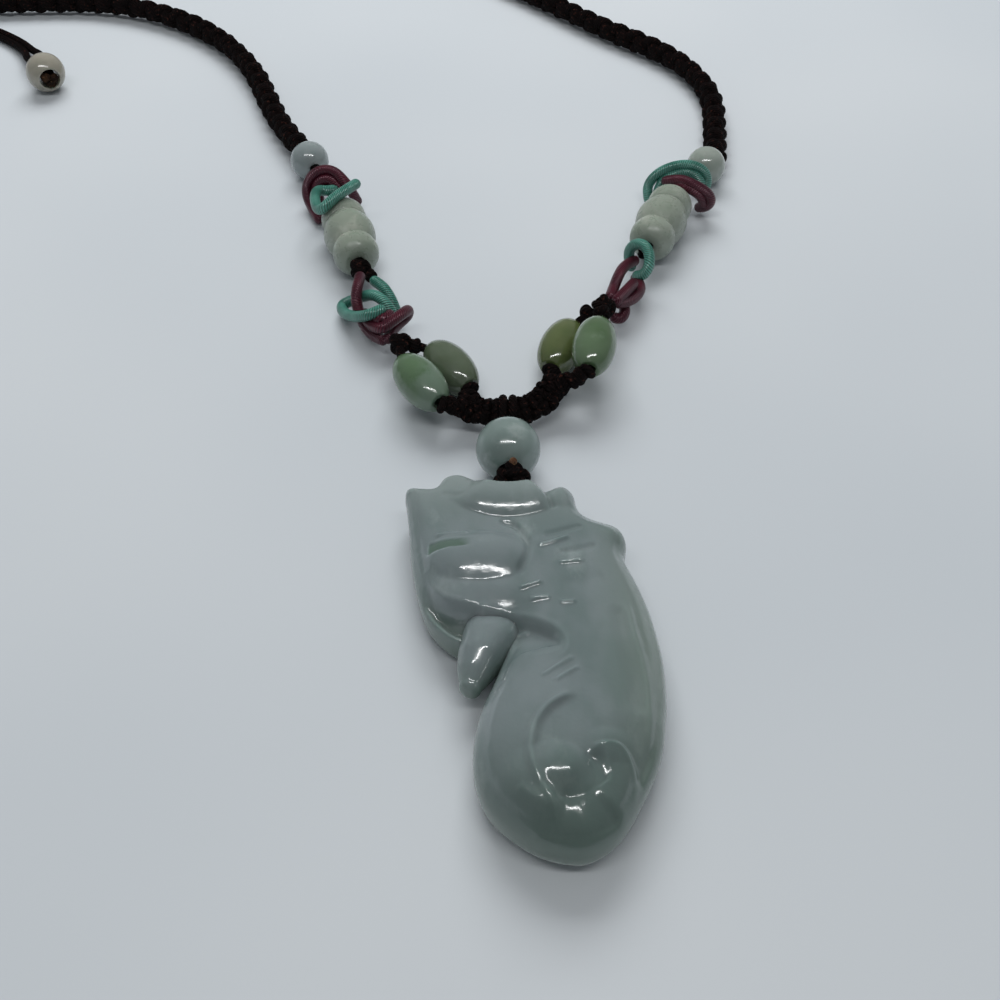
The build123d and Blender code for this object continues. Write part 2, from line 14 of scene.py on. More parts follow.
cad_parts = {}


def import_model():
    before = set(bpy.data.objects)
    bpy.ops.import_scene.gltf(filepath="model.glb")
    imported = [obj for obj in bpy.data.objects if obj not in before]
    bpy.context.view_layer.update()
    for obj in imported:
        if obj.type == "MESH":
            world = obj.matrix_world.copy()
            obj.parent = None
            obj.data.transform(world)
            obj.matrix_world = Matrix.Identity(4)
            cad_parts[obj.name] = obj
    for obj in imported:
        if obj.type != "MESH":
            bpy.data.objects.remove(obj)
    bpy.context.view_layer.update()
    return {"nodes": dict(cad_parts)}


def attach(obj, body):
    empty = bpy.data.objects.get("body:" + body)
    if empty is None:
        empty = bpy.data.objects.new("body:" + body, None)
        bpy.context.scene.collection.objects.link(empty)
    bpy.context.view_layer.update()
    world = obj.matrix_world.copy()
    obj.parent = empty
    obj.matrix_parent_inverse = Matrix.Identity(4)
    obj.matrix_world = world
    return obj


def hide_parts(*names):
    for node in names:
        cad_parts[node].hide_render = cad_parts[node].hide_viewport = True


MM = 0.001
BODY = "root"
# Vertex layer that holds the painted shade in the eye's cut.
SLIT_SHADE_LAYER = "cut"
CURVE_STEPS = 32
CURVE_ORDER = 3
CAP_RINGS = 6
LUMP_CORD = 0.62
LUMP_CORD_SHARE = 0.42
SHARP_ANGLE = 0.7
TURN_ANGLES = np.linspace(0.0, tau, 44)

Point = tuple[float, float, float]
Flat = tuple[float, float]
Arc = tuple[Flat, Flat, Flat]
Route = tuple[Point, ...]
Lump = tuple[float, float, float, float]
Profile = tuple[tuple[float, ...], tuple[float, ...]]
Tone = tuple[int, int, int]
Shares = np.ndarray
Socket = bpy.types.NodeSocket
Value = Socket | float | Sequence[float]

log = logging.getLogger("necklace")


class Slot(Enum):
    """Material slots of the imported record."""

    PENDANT_JADE = "pendant_jade"
    ROUND_JADE = "round_jade"
    GREEN_JADE = "green_jade"
    PALE_JADE = "pale_jade"
    DARK_CORD = "dark_cord"
    BURGUNDY_SILK = "burgundy_silk"
    TEAL_SILK = "teal_silk"


class Side(Enum):
    """The two sides of the string, as seen from the pendant."""

    LEFT = "left"
    RIGHT = "right"


class Channel(Enum):
    """Coordinates that a pattern can follow."""

    OBJECT = "Object"
    UV = "UV"


class Axis(Enum):
    """A piece's own axes."""

    X = "X"
    Y = "Y"
    Z = "Z"


# Finishes


def tone(shade: Tone) -> tuple[float, float, float, float]:
    """Turn a colour as seen on a screen, 0 to 255, into the linear colour that a shader takes."""
    linear = [(v / 255 / 12.92) if v <= 10 else ((v / 255 + 0.055) / 1.055) ** 2.4 for v in shade]
    return (*linear, 1.0)


class NodeBoard:
    """A material's nodes, with short ways to add and join them."""

    def __init__(self, name: str) -> None:
        """Start a material that holds one principled shader.

        Args:
            name: the material's name
        """
        self.material = bpy.data.materials.new(name)
        self.material.use_nodes = True
        self.nodes = self.material.node_tree.nodes
        self.links = self.material.node_tree.links
        self.nodes.clear()
        self.shader = self.nodes.new("ShaderNodeBsdfPrincipled")
        output = self.nodes.new("ShaderNodeOutputMaterial")
        self.links.new(self.shader.outputs["BSDF"], output.inputs["Surface"])

    def put(self, value: Value, target: Socket) -> None:
        """Fill one input: a socket is linked, and what is the same all over is set.

        Args:
            value: a socket, a number or a colour
            target: the input
        """
        if isinstance(value, Socket):
            self.links.new(value, target)
        else:
            target.default_value = value

    def feed(self, node: bpy.types.Node, inputs: dict[str, Value]) -> None:
        """Fill a node's inputs by their names."""
        for name, value in inputs.items():
            self.put(value, node.inputs[name])

    def add(self, kind: str, inputs: dict[str, Value] | None = None, **settings: object) -> bpy.types.Node:
        """Add one node.

        Args:
            kind: the node's type name, without the leading ShaderNode
            inputs: what goes into it, by name
            settings: properties of the node

        Returns:
            The new node.
        """
        node = self.nodes.new(f"ShaderNode{kind}")
        for key, value in settings.items():
            setattr(node, key, value)
        self.feed(node, inputs or {})
        return node

    def placed(self, channel: Channel, scale: Point = (1, 1, 1)) -> Socket:
        """Give coordinates for a pattern.

        Args:
            channel: what the pattern follows
            scale: how often the pattern repeats along each axis

        Returns:
            The socket that holds the coordinates.
        """
        source = self.add("TexCoord").outputs[channel.value]
        return self.add("Mapping", {"Vector": source, "Scale": scale}).outputs["Vector"]

    def axis(self, axis: Axis) -> Socket:
        """Give one of the piece's own coordinates, in metres."""
        source = self.add("TexCoord").outputs[Channel.OBJECT.value]
        return self.add("SeparateXYZ", {"Vector": source}).outputs[axis.value]

    def noise(self, vector: Socket, scale: float, detail: float = 3.0, blur: float = 0.5) -> Socket:
        """Add a cloudy noise.

        Args:
            vector: the pattern's coordinates
            scale: clouds per unit
            detail: how many finer layers it has
            blur: how strong those layers are

        Returns:
            The noise's value.
        """
        inputs = {"Vector": vector, "Scale": scale, "Detail": detail, "Roughness": blur}
        return self.add("TexNoise", inputs).outputs["Fac"]

    def bands(self, vector: Socket, scale: float, bend: float, detail: float) -> Socket:
        """Add slanting bands.

        Args:
            vector: the pattern's coordinates
            scale: bands per unit
            bend: how unevenly they run
            detail: how fine that unevenness is

        Returns:
            The bands' value.
        """
        inputs = {"Vector": vector, "Scale": scale, "Distortion": bend, "Detail": detail}
        node = self.add("TexWave", inputs, wave_type="BANDS", bands_direction="DIAGONAL", wave_profile="SIN")
        return node.outputs["Fac"]

    def ramp(self, value: Socket, low: float, high: float) -> Socket:
        """Stretch a value so that low becomes 0 and high becomes 1."""
        inputs = {"Value": value, "From Min": low, "From Max": high}
        return self.add("MapRange", inputs, interpolation_type="SMOOTHSTEP").outputs["Result"]

    def blend(self, share: Socket, first: Value, second: Value) -> Socket:
        """Blend two colours.

        Args:
            share: how much of the second colour shows
            first: a colour, or a socket that holds one
            second: a colour, or a socket that holds one

        Returns:
            The socket of the blended colour.
        """
        node = self.add("Mix", {"Factor": share}, data_type="RGBA")
        for key, colour in (("A", first), ("B", second)):
            self.put(colour, [s for s in node.inputs if s.name == key and s.type == "RGBA"][0])
        return [s for s in node.outputs if s.type == "RGBA"][0]

    def emboss(
        self, height: Socket, depth: float, strength: float = 1.0, under: Socket | None = None
    ) -> Socket:
        """Add a bump.

        Args:
            height: the bump's height, 0 to 1
            depth: the height of 1, in metres
            strength: how strongly it shows
            under: the normal that it is added to

        Returns:
            The bumped normal.
        """
        inputs = {"Height": height, "Distance": depth, "Strength": strength}
        if under is not None:
            inputs["Normal"] = under
        return self.add("Bump", inputs).outputs["Normal"]


@dataclass(frozen=True)
class ToneAndLightZone:
    """A tone that comes in along one axis of a stone, between two places in metres; used for the stone's own
    tint and for painted light and shade.
    """

    axis: Axis
    start: float
    full: float
    shade: Tone


@dataclass(frozen=True)
class Jade:
    """Polished jade: soft clouds in a translucent stone, with a gently wavy polish."""

    name: str
    slot: Slot
    body: Tone
    cloud: Tone
    vein: Tone
    cloud_size: float = 7.0
    cloud_grain: Flat = (3.0, 0.55)
    cloud_share: Flat = (0.38, 0.66)
    vein_fineness: float = 1.6
    vein_grain: Flat = (5.0, 0.62)
    vein_share: Flat = (0.56, 0.74)
    stretch: Point = (1.0, 1.0, 1.0)
    roughness: float = 0.13
    smear_scale: float = 900.0
    smear_share: Flat = (0.7, 1.5)
    glow: float = 0.55
    glow_depth: float = 0.0016
    glow_radius: Point = (0.8, 1.0, 0.9)
    refraction: float = 1.6
    coat: float = 0.25
    coat_roughness: float = 0.04
    polish_wave: float = 0.5
    polish_scale: float = 620.0
    polish_grain: Flat = (2.0, 0.45)
    polish_height: float = 0.00009
    tool_marks: float = 0.0
    mark_scale: float = 2300.0
    mark_grain: Flat = (2.0, 0.5)
    mark_height: float = 0.000014
    tints_and_painted_light: tuple[ToneAndLightZone, ...] = ()
    slit_shade_tone: Tone | None = None

    def material(self) -> bpy.types.Material:
        """Build the stone's nodes.

        Returns:
            The material.
        """
        board = NodeBoard(self.name)
        spots = board.placed(Channel.OBJECT, self.stretch)
        per_metre = 1 / MM / self.cloud_size
        clouds = board.noise(spots, per_metre, *self.cloud_grain)
        veins = board.noise(spots, per_metre * self.vein_fineness, *self.vein_grain)
        colour = board.blend(board.ramp(clouds, *self.cloud_share), tone(self.body), tone(self.cloud))
        colour = board.blend(board.ramp(veins, *self.vein_share), colour, tone(self.vein))
        # Tones along the stone's axes: the stone's own tint, and painted light and shade.
        for zone in self.tints_and_painted_light:
            share = board.ramp(board.axis(zone.axis), zone.start, zone.full)
            colour = board.blend(share, colour, tone(zone.shade))
        # Painted shade: the eye's cut is darker where it lies deeper.
        if self.slit_shade_tone:
            cut = board.add("Attribute", attribute_name=SLIT_SHADE_LAYER)
            colour = board.blend(cut.outputs["Fac"], colour, tone(self.slit_shade_tone))
        smears = board.ramp(board.noise(spots, self.smear_scale, 2.0), 0.3, 0.7)
        low, high = (self.roughness * share for share in self.smear_share)
        spread = board.add("MapRange", {"Value": smears, "To Min": low, "To Max": high})
        waves = board.noise(board.placed(Channel.OBJECT), self.polish_scale, *self.polish_grain)
        polished = board.emboss(waves, self.polish_height, self.polish_wave)
        if self.tool_marks:
            marks = board.noise(board.placed(Channel.OBJECT), self.mark_scale, *self.mark_grain)
            polished = board.emboss(marks, self.mark_height, self.tool_marks, polished)
        inputs = {
            "Base Color": colour,
            "Roughness": spread.outputs["Result"],
            "Normal": polished,
            "Subsurface Weight": self.glow,
            "Subsurface Radius": self.glow_radius,
            "Subsurface Scale": self.glow_depth,
            "IOR": self.refraction,
            "Coat Weight": self.coat,
            "Coat Roughness": self.coat_roughness,
        }
        board.feed(board.shader, inputs)
        return board.material


@dataclass(frozen=True)
class KnottedCord:
    """Dark nylon cord, matt, with its fine twist and fibres."""

    name: str
    slot: Slot
    shade: Tone
    light: Tone
    fleck: Tone = (60, 33, 27)
    twist_scale: float = 1.1
    twist_height: float = 0.00018
    twist_bend: Flat = (1.2, 2.0)
    patch_scale: float = 900.0
    patch_grain: Flat = (4.0, 0.6)
    patch_share: Flat = (0.35, 0.75)
    fleck_scale: float = 2300.0
    fleck_grain: Flat = (2.0, 0.5)
    fleck_share: Flat = (0.60, 0.74)
    fibre_scale: float = 3000.0
    fibre_grain: Flat = (3.0, 0.6)
    fibre_height: float = 0.00012
    relief: float = 0.8
    roughness: float = 0.78
    shine: float = 0.1

    def material(self) -> bpy.types.Material:
        """Build the cord's nodes.

        Returns:
            The material.
        """
        board = NodeBoard(self.name)
        twist = board.bands(board.placed(Channel.UV), self.twist_scale, *self.twist_bend)
        patches = board.noise(board.placed(Channel.OBJECT), self.patch_scale, *self.patch_grain)
        colour = board.blend(board.ramp(patches, *self.patch_share), tone(self.shade), tone(self.light))
        flecks = board.noise(board.placed(Channel.OBJECT), self.fleck_scale, *self.fleck_grain)
        colour = board.blend(board.ramp(flecks, *self.fleck_share), colour, tone(self.fleck))
        fibres = board.noise(board.placed(Channel.OBJECT), self.fibre_scale, *self.fibre_grain)
        twisted = board.emboss(twist, self.twist_height, self.relief)
        normal = board.emboss(fibres, self.fibre_height, self.relief, twisted)
        inputs = {"Roughness": self.roughness, "Specular IOR Level": self.shine, "Normal": normal}
        board.feed(board.shader, {"Base Color": colour, **inputs})
        return board.material


@dataclass(frozen=True)
class WrappedSilk:
    """Silk thread wound closely round a core: satin, with fine slanting turns and painted shade in the gaps
    between them.
    """

    name: str
    slot: Slot
    shade: Tone
    light: Tone
    gloss: Tone
    shine: float = 1.0
    slant: float = 0.35
    turn_scale: float = 2.2
    turn_height: float = 0.00007
    turn_bend: Flat = (0.6, 1.0)
    relief: float = 0.9
    gap_shade_scale: float = 0.6
    gap_shade_range: Flat = (0.0, 0.55)
    patch_scale: float = 420.0
    patch_share: Flat = (0.3, 0.75)
    roughness: float = 0.3

    def material(self) -> bpy.types.Material:
        """Build the silk's nodes.

        Returns:
            The material.
        """
        board = NodeBoard(self.name)
        slanted = board.placed(Channel.UV, (1.0, self.slant, 1.0))
        turns = board.bands(slanted, self.turn_scale, *self.turn_bend)
        patches = board.noise(board.placed(Channel.OBJECT), self.patch_scale, 3.0)
        colour = board.blend(board.ramp(patches, *self.patch_share), tone(self.shade), tone(self.light))
        # Painted shade: darker in the gaps between the turns.
        deep = tuple(round(value * self.gap_shade_scale) for value in self.shade)
        colour = board.blend(board.ramp(turns, *self.gap_shade_range), tone(deep), colour)
        inputs = {
            "Base Color": colour,
            "Roughness": self.roughness,
            "Specular IOR Level": self.shine,
            "Specular Tint": tone(self.gloss),
            "Normal": board.emboss(turns, self.turn_height, self.relief),
        }
        board.feed(board.shader, inputs)
        return board.material


@dataclass(frozen=True)
class TableTop:
    """Pale matt table, very slightly uneven in tone."""

    name: str = "pale_table"
    low: Tone = (196, 203, 209)
    high: Tone = (204, 210, 215)
    patch_scale: float = 9.0
    roughness: float = 0.75
    shine: float = 0.2

    def material(self) -> bpy.types.Material:
        """Build the table's nodes.

        Returns:
            The material.
        """
        board = NodeBoard(self.name)
        patches = board.noise(board.placed(Channel.OBJECT), self.patch_scale, 2.0)
        colour = board.blend(board.ramp(patches, 0.3, 0.7), tone(self.low), tone(self.high))
        inputs = {"Base Color": colour, "Roughness": self.roughness, "Specular IOR Level": self.shine}
        board.feed(board.shader, inputs)
        return board.material


PENDANT_JADE = Jade(
    name="pendant_jade",
    slot=Slot.PENDANT_JADE,
    body=(121, 133, 135),
    cloud=(106, 121, 121),
    vein=(140, 152, 152),
    cloud_size=9.0,
    cloud_share=(0.42, 0.6),
    vein_share=(0.52, 0.76),
    stretch=(1.0, 0.6, 1.0),
    tints_and_painted_light=(
        ToneAndLightZone(Axis.X, 0.004, 0.016, (114, 130, 120)),
        # Painted shade: darker towards the tail.
        ToneAndLightZone(Axis.Y, -0.006, -0.026, (82, 101, 94)),
        # Painted light: paler towards the crown, as if light shone through its thin rim.
        ToneAndLightZone(Axis.Y, 0.014, 0.026, (134, 146, 145)),
        # Painted shade: darker low down, on the walls, the jaw, the tusk and under the lip.
        ToneAndLightZone(Axis.Z, 0.0068, 0.0025, (106, 124, 115)),
    ),
    # Painted shade inside the eye's cut.
    slit_shade_tone=(90, 111, 101),
    tool_marks=1.0,
)
MAIN_JADE = Jade(
    "round_jade_main", Slot.ROUND_JADE, (128, 144, 141), (114, 130, 127), (146, 158, 156), polish_wave=0.12
)
COOL_JADE = Jade(
    "round_jade_cool", Slot.ROUND_JADE, (138, 148, 149), (122, 134, 136), (156, 162, 162), polish_wave=0.12
)
SIDE_JADE = Jade(
    "round_jade_side", Slot.ROUND_JADE, (156, 163, 157), (142, 152, 144), (172, 178, 172), polish_wave=0.12
)
END_JADE = Jade(
    "round_jade_end", Slot.ROUND_JADE, (154, 150, 138), (142, 140, 128), (168, 164, 154), polish_wave=0.2
)
RIBBED_JADE = Jade(
    name="pale_jade",
    slot=Slot.PALE_JADE,
    body=(141, 150, 139),
    cloud=(130, 141, 128),
    vein=(160, 166, 155),
    polish_wave=0.35,
    roughness=0.32,
    coat=0.02,
)
LEAF_JADE = Jade(
    "green_jade_leaf", Slot.GREEN_JADE, (84, 110, 80), (102, 122, 106), (66, 96, 60), polish_wave=0.9
)
MOSS_JADE = Jade(
    "green_jade_moss", Slot.GREEN_JADE, (76, 90, 66), (86, 98, 80), (66, 82, 54), polish_wave=0.9
)
SAGE_JADE = Jade(
    "green_jade_sage", Slot.GREEN_JADE, (92, 114, 86), (76, 100, 68), (112, 130, 112), polish_wave=0.9
)
OLIVE_JADE = Jade(
    "green_jade_olive", Slot.GREEN_JADE, (90, 101, 62), (78, 92, 52), (106, 113, 80), polish_wave=0.9
)
DARK_CORD = KnottedCord("dark_cord", Slot.DARK_CORD, (5, 2, 2), (15, 6, 6))
FRAYED_CORD = KnottedCord("frayed_cord", Slot.DARK_CORD, (30, 19, 14), (62, 42, 28), fleck=(96, 76, 52))
MELTED_TIP = KnottedCord("melted_tip", Slot.DARK_CORD, (124, 96, 72), (84, 54, 38), roughness=0.4)
BURGUNDY = WrappedSilk(
    "burgundy_silk", Slot.BURGUNDY_SILK, (60, 12, 28), (88, 26, 42), (255, 215, 228), shine=0.6
)
TEAL = WrappedSilk("teal_silk", Slot.TEAL_SILK, (42, 113, 98), (92, 164, 148), (235, 255, 250))

Finish = Jade | KnottedCord | WrappedSilk


class Wardrobe:
    """The materials in use, each made once."""

    _made: dict[str, bpy.types.Material] = {}

    @classmethod
    def take(cls, finish: Finish | TableTop) -> bpy.types.Material:
        """Give a finish's material, and make it first where it is new.

        Args:
            finish: the finish

        Returns:
            Its material.
        """
        if finish.name not in cls._made:
            cls._made[finish.name] = finish.material()
        return cls._made[finish.name]


# Cords as lines


@dataclass(frozen=True)
class CordLine:
    """A cord's middle line in millimetres, with a frame at each point."""

    places: np.ndarray
    ahead: np.ndarray
    side: np.ndarray
    up: np.ndarray
    run: np.ndarray
    closed: bool = False

    @property
    def length(self) -> float:
        """Length of the line."""
        return float(self.run[-1])

    def at(self, run: np.ndarray) -> tuple[np.ndarray, np.ndarray, np.ndarray, np.ndarray]:
        """Places and frames at given lengths along the line.

        Args:
            run: lengths from the start

        Returns:
            Places, headings, sideways and upward directions.
        """
        found = []
        for values in (self.places, self.ahead, self.side, self.up):
            found.append(np.stack([np.interp(run, self.run, values[:, k]) for k in range(3)], axis=1))
        return found[0], unit(found[1]), unit(found[2]), unit(found[3])

    def spot(self, run: float) -> tuple[np.ndarray, ...]:
        """Place, heading, sideways and upward direction at one length along the line."""
        return tuple(values[0] for values in self.at(np.full(1, run)))


def unit(vectors: np.ndarray) -> np.ndarray:
    """Scale each row to length 1."""
    return vectors / np.maximum(np.linalg.norm(vectors, axis=-1, keepdims=True), 1e-12)


def framed(places: np.ndarray, closed: bool = False, start_up: Point = (0.0, 0.0, 1.0)) -> CordLine:
    """Give a line its frames, turned as little as possible from point to point.

    Args:
        places: the line's points
        closed: whether the last point meets the first
        start_up: roughly the upward direction at the start

    Returns:
        The framed line.
    """
    steps = np.diff(places, axis=0)
    run = np.concatenate([[0.0], np.cumsum(np.linalg.norm(steps, axis=1))])
    ahead = unit(np.gradient(places, axis=0))
    if closed:
        ahead[0] = ahead[-1] = unit(places[1] - places[-2])
    up = np.zeros_like(places)
    current = np.array(start_up, float)
    for index, heading in enumerate(ahead):
        current = current - heading * (current @ heading)
        current /= max(np.linalg.norm(current), 1e-9)
        up[index] = current
    if closed:
        side_at_start = np.cross(ahead[0], up[0])
        slip = atan2(float(up[-1] @ side_at_start), float(up[-1] @ up[0]))
        angles = -slip * run / run[-1]
        sides = np.cross(ahead, up)
        up = up * np.cos(angles)[:, None] + sides * np.sin(angles)[:, None]
    side = np.cross(up, ahead)
    return CordLine(places, ahead, side, up, run, closed)


def cord_line(route: Sequence[Point], step: float = 0.3) -> CordLine:
    """Read a route's smooth line from its NURBS spline and space its points evenly.

    Args:
        route: the cord's chosen points in millimetres
        step: the spacing wanted, in millimetres

    Returns:
        The framed line.
    """
    curve = bpy.data.curves.new("route", "CURVE")
    curve.dimensions = "3D"
    curve.resolution_u = CURVE_STEPS
    spline = curve.splines.new("NURBS")
    spline.points.add(len(route) - 1)
    for point, place in zip(spline.points, route):
        point.co = (*place, 1.0)
    spline.order_u = min(CURVE_ORDER, len(route))
    spline.use_endpoint_u = True
    holder = bpy.data.objects.new("route", curve)
    line = bpy.data.meshes.new_from_object(holder)
    dense = np.array([vertex.co[:] for vertex in line.vertices])
    bpy.data.objects.remove(holder)
    bpy.data.meshes.remove(line)
    bpy.data.curves.remove(curve)
    run = np.concatenate([[0.0], np.cumsum(np.linalg.norm(np.diff(dense, axis=0), axis=1))])
    count = max(3, round(run[-1] / step) + 1)
    even = np.linspace(0.0, run[-1], count)
    places = np.stack([np.interp(even, run, dense[:, k]) for k in range(3)], axis=1)
    return framed(places)


# Pieces


class Piece:
    """One piece of the necklace while it is made, in millimetres, from one or more shells."""

    def __init__(self, name: str) -> None:
        """Start an empty piece.

        Args:
            name: the piece's name
        """
        self.name = name
        self.bm = bmesh.new()
        self.bm.loops.layers.uv.new("UVMap")
        self.finishes: list[Finish] = []

    def finish_index(self, finish: Finish) -> int:
        """Number a finish on this piece, and add it where it is new.

        Args:
            finish: the finish

        Returns:
            Its number.
        """
        if finish not in self.finishes:
            self.finishes.append(finish)
        return self.finishes.index(finish)

    def take_in(self, shell: bmesh.types.BMesh, finish: Finish) -> None:
        """Add a finished shell to the piece.

        Args:
            shell: the shell, which is used up
            finish: its finish
        """
        index = self.finish_index(finish)
        for face in shell.faces:
            face.material_index = index
            face.smooth = True
        holder = bpy.data.meshes.new("shell")
        shell.to_mesh(holder)
        shell.free()
        self.bm.from_mesh(holder)
        bpy.data.meshes.remove(holder)

    def add_skin(
        self,
        surface: Callable[[Shares, Shares], np.ndarray],
        rings: int,
        sides: int,
        finish: Finish,
        size: Flat = (1.0, 1.0),
    ) -> None:
        """Add a closed tube: a grid laid on a surface so that its long edges meet.

        Args:
            surface: places for shares along and round the tube
            rings: faces along the tube
            sides: faces round the tube
            finish: its finish
            size: length and girth in millimetres, for the pattern's scale
        """
        shell = bmesh.new()
        layer = shell.loops.layers.uv.new("UVMap")
        bmesh.ops.create_grid(shell, x_segments=rings, y_segments=sides, size=0.5, calc_uvs=True)
        flat = np.array([vertex.co[:] for vertex in shell.verts])
        for vertex, place in zip(shell.verts, surface(flat[:, 0] + 0.5, flat[:, 1] + 0.5)):
            vertex.co = place
        for face in shell.faces:
            for loop in face.loops:
                loop[layer].uv = (loop[layer].uv[0] * size[0], loop[layer].uv[1] * size[1])
        bmesh.ops.remove_doubles(shell, verts=shell.verts, dist=1e-4)
        bmesh.ops.recalc_face_normals(shell, faces=shell.faces)
        self.take_in(shell, finish)

    def add_cord(
        self,
        line: CordLine,
        radius: float,
        finish: Finish = DARK_CORD,
        sides: int = 14,
        shape: Flat = (1.0, 1.0),
        rounding: float = 1.0,
    ) -> None:
        """Add a cord along a line, with rounded ends where it has ends.

        Args:
            line: the cord's middle line
            radius: its radius
            finish: its finish
            sides: faces round it
            shape: how wide and how thick it is, as shares of the radius
            rounding: length of the rounded ends, as a share of the radius
        """
        count = len(line.places)
        rings = count - 1 + (0 if line.closed else 2 * CAP_RINGS)

        def surface(along: Shares, round_: Shares) -> np.ndarray:
            """Find places on the cord's skin.

            Args:
                along: shares of the way along the cord
                round_: shares of the way round it

            Returns:
                The places.
            """
            run = along * line.length
            swell = np.ones_like(run)
            if not line.closed:
                reach = radius * rounding
                share = along * rings
                inner = np.clip((share - CAP_RINGS) / (rings - 2 * CAP_RINGS), 0, 1)
                run = reach + inner * (line.length - 2 * reach)
                for ring_share, sign in ((share / CAP_RINGS, 1), ((rings - share) / CAP_RINGS, -1)):
                    end = ring_share < 1
                    turn = np.clip(ring_share, 0, 1) * pi / 2
                    base = 0.0 if sign > 0 else line.length
                    run = np.where(end, base + sign * reach * (1 - np.cos(turn)), run)
                    swell = np.where(end, np.sin(turn), swell)
            places, _, side, up = line.at(run)
            angle = round_ * tau
            across = side * (np.cos(angle) * shape[0])[:, None] + up * (np.sin(angle) * shape[1])[:, None]
            return places + across * (radius * swell)[:, None]

        self.add_skin(surface, rings, sides, finish, (line.length, tau * radius))

    def done(self, *replaced: str) -> bpy.types.Object:
        """Turn the piece into an object of the necklace.

        Args:
            replaced: the nodes that it stands for

        Returns:
            The new object.
        """
        label = f"finished_{self.name}"
        mesh = bpy.data.meshes.new(label)
        bmesh.ops.scale(self.bm, vec=(MM, MM, MM), verts=self.bm.verts)
        self.bm.to_mesh(mesh)
        self.bm.free()
        for finish in self.finishes:
            mesh.materials.append(Wardrobe.take(finish))
        piece = bpy.data.objects.new(label, mesh)
        bpy.context.scene.collection.objects.link(piece)
        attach(piece, BODY)
        if replaced:
            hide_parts(*replaced)
        log.info("%s: %d faces", self.name, len(mesh.polygons))
        return piece


def knot_line(centre: Point, size: float, turn: float = 0.0, tilt: float = 0.0, count: int = 72) -> CordLine:
    """Line of a small closed knot that fills a ball.

    Args:
        centre: middle of the ball
        size: radius that the line reaches
        turn: turn about the upright axis in degrees
        tilt: tilt about the x axis in degrees
        count: points of the line

    Returns:
        The closed line.
    """
    angle = np.linspace(0.0, tau, count)
    middle, swing = 0.62, 0.38
    reach = middle + swing * np.cos(3 * angle)
    places = np.stack(
        [reach * np.cos(2 * angle), reach * np.sin(2 * angle), middle * np.sin(3 * angle)], axis=1
    )
    spin = Matrix.Rotation(radians(turn), 3, "Z") @ Matrix.Rotation(radians(tilt), 3, "X")
    places = places @ np.array(spin).T * size + np.array(centre)
    return framed(places, closed=True)


def turn_line(spot: tuple[np.ndarray, ...], half_size: Flat, lean: Shares) -> CordLine:
    """Line of one closed turn round another cord.

    Args:
        spot: place, heading, sideways and upward direction of the cord inside
        half_size: how far the turn stands out to the side and upwards
        lean: how far ahead each of its points lies

    Returns:
        The closed line.
    """
    place, ahead, side, up = spot
    sideways, upward = np.cos(TURN_ANGLES) * half_size[0], np.sin(TURN_ANGLES) * half_size[1]
    places = place + side * sideways[:, None] + up * upward[:, None] + ahead * lean[:, None]
    return framed(places, closed=True)


def tie_lump(piece: Piece, lump: Lump, turn: float, tilt: float, inner: Point) -> None:
    """Tie one lump of a knot: a closed knot with a smaller one inside it.

    Args:
        piece: the piece that it goes into
        lump: its middle and its radius
        turn: turn about the upright axis in degrees
        tilt: tilt in degrees
        inner: the smaller knot's size as a share, its further turn and its tilt
    """
    *centre, size = lump
    cord = min(LUMP_CORD, size * LUMP_CORD_SHARE)
    share, inner_turn, inner_tilt = inner
    for reach, turned, tilted in ((1.0, turn, tilt), (share, turn + inner_turn, inner_tilt)):
        piece.add_cord(knot_line(tuple(centre), (size - cord) * reach, turned, tilted), cord)


# Beads


def circle_through(start: Flat, middle: Flat, end: Flat) -> tuple[Vector, float]:
    """Find the arc through three points.

    Args:
        start: first point, along and away from the axis
        middle: a point between
        end: last point

    Returns:
        The arc's centre, and its angle with its sign.
    """
    (ax, ay), (bx, by), (cx, cy) = start, middle, end
    spread = 2 * (ax * (by - cy) + bx * (cy - ay) + cx * (ay - by))
    a2, b2, c2 = ax * ax + ay * ay, bx * bx + by * by, cx * cx + cy * cy
    centre = Vector(
        (
            (a2 * (by - cy) + b2 * (cy - ay) + c2 * (ay - by)) / spread,
            (a2 * (cx - bx) + b2 * (ax - cx) + c2 * (bx - ax)) / spread,
            0,
        )
    )
    first = atan2(ay - centre.y, ax - centre.x)
    last = atan2(cy - centre.y, cx - centre.x)
    angle = (last - first + pi) % tau - pi
    return centre, angle


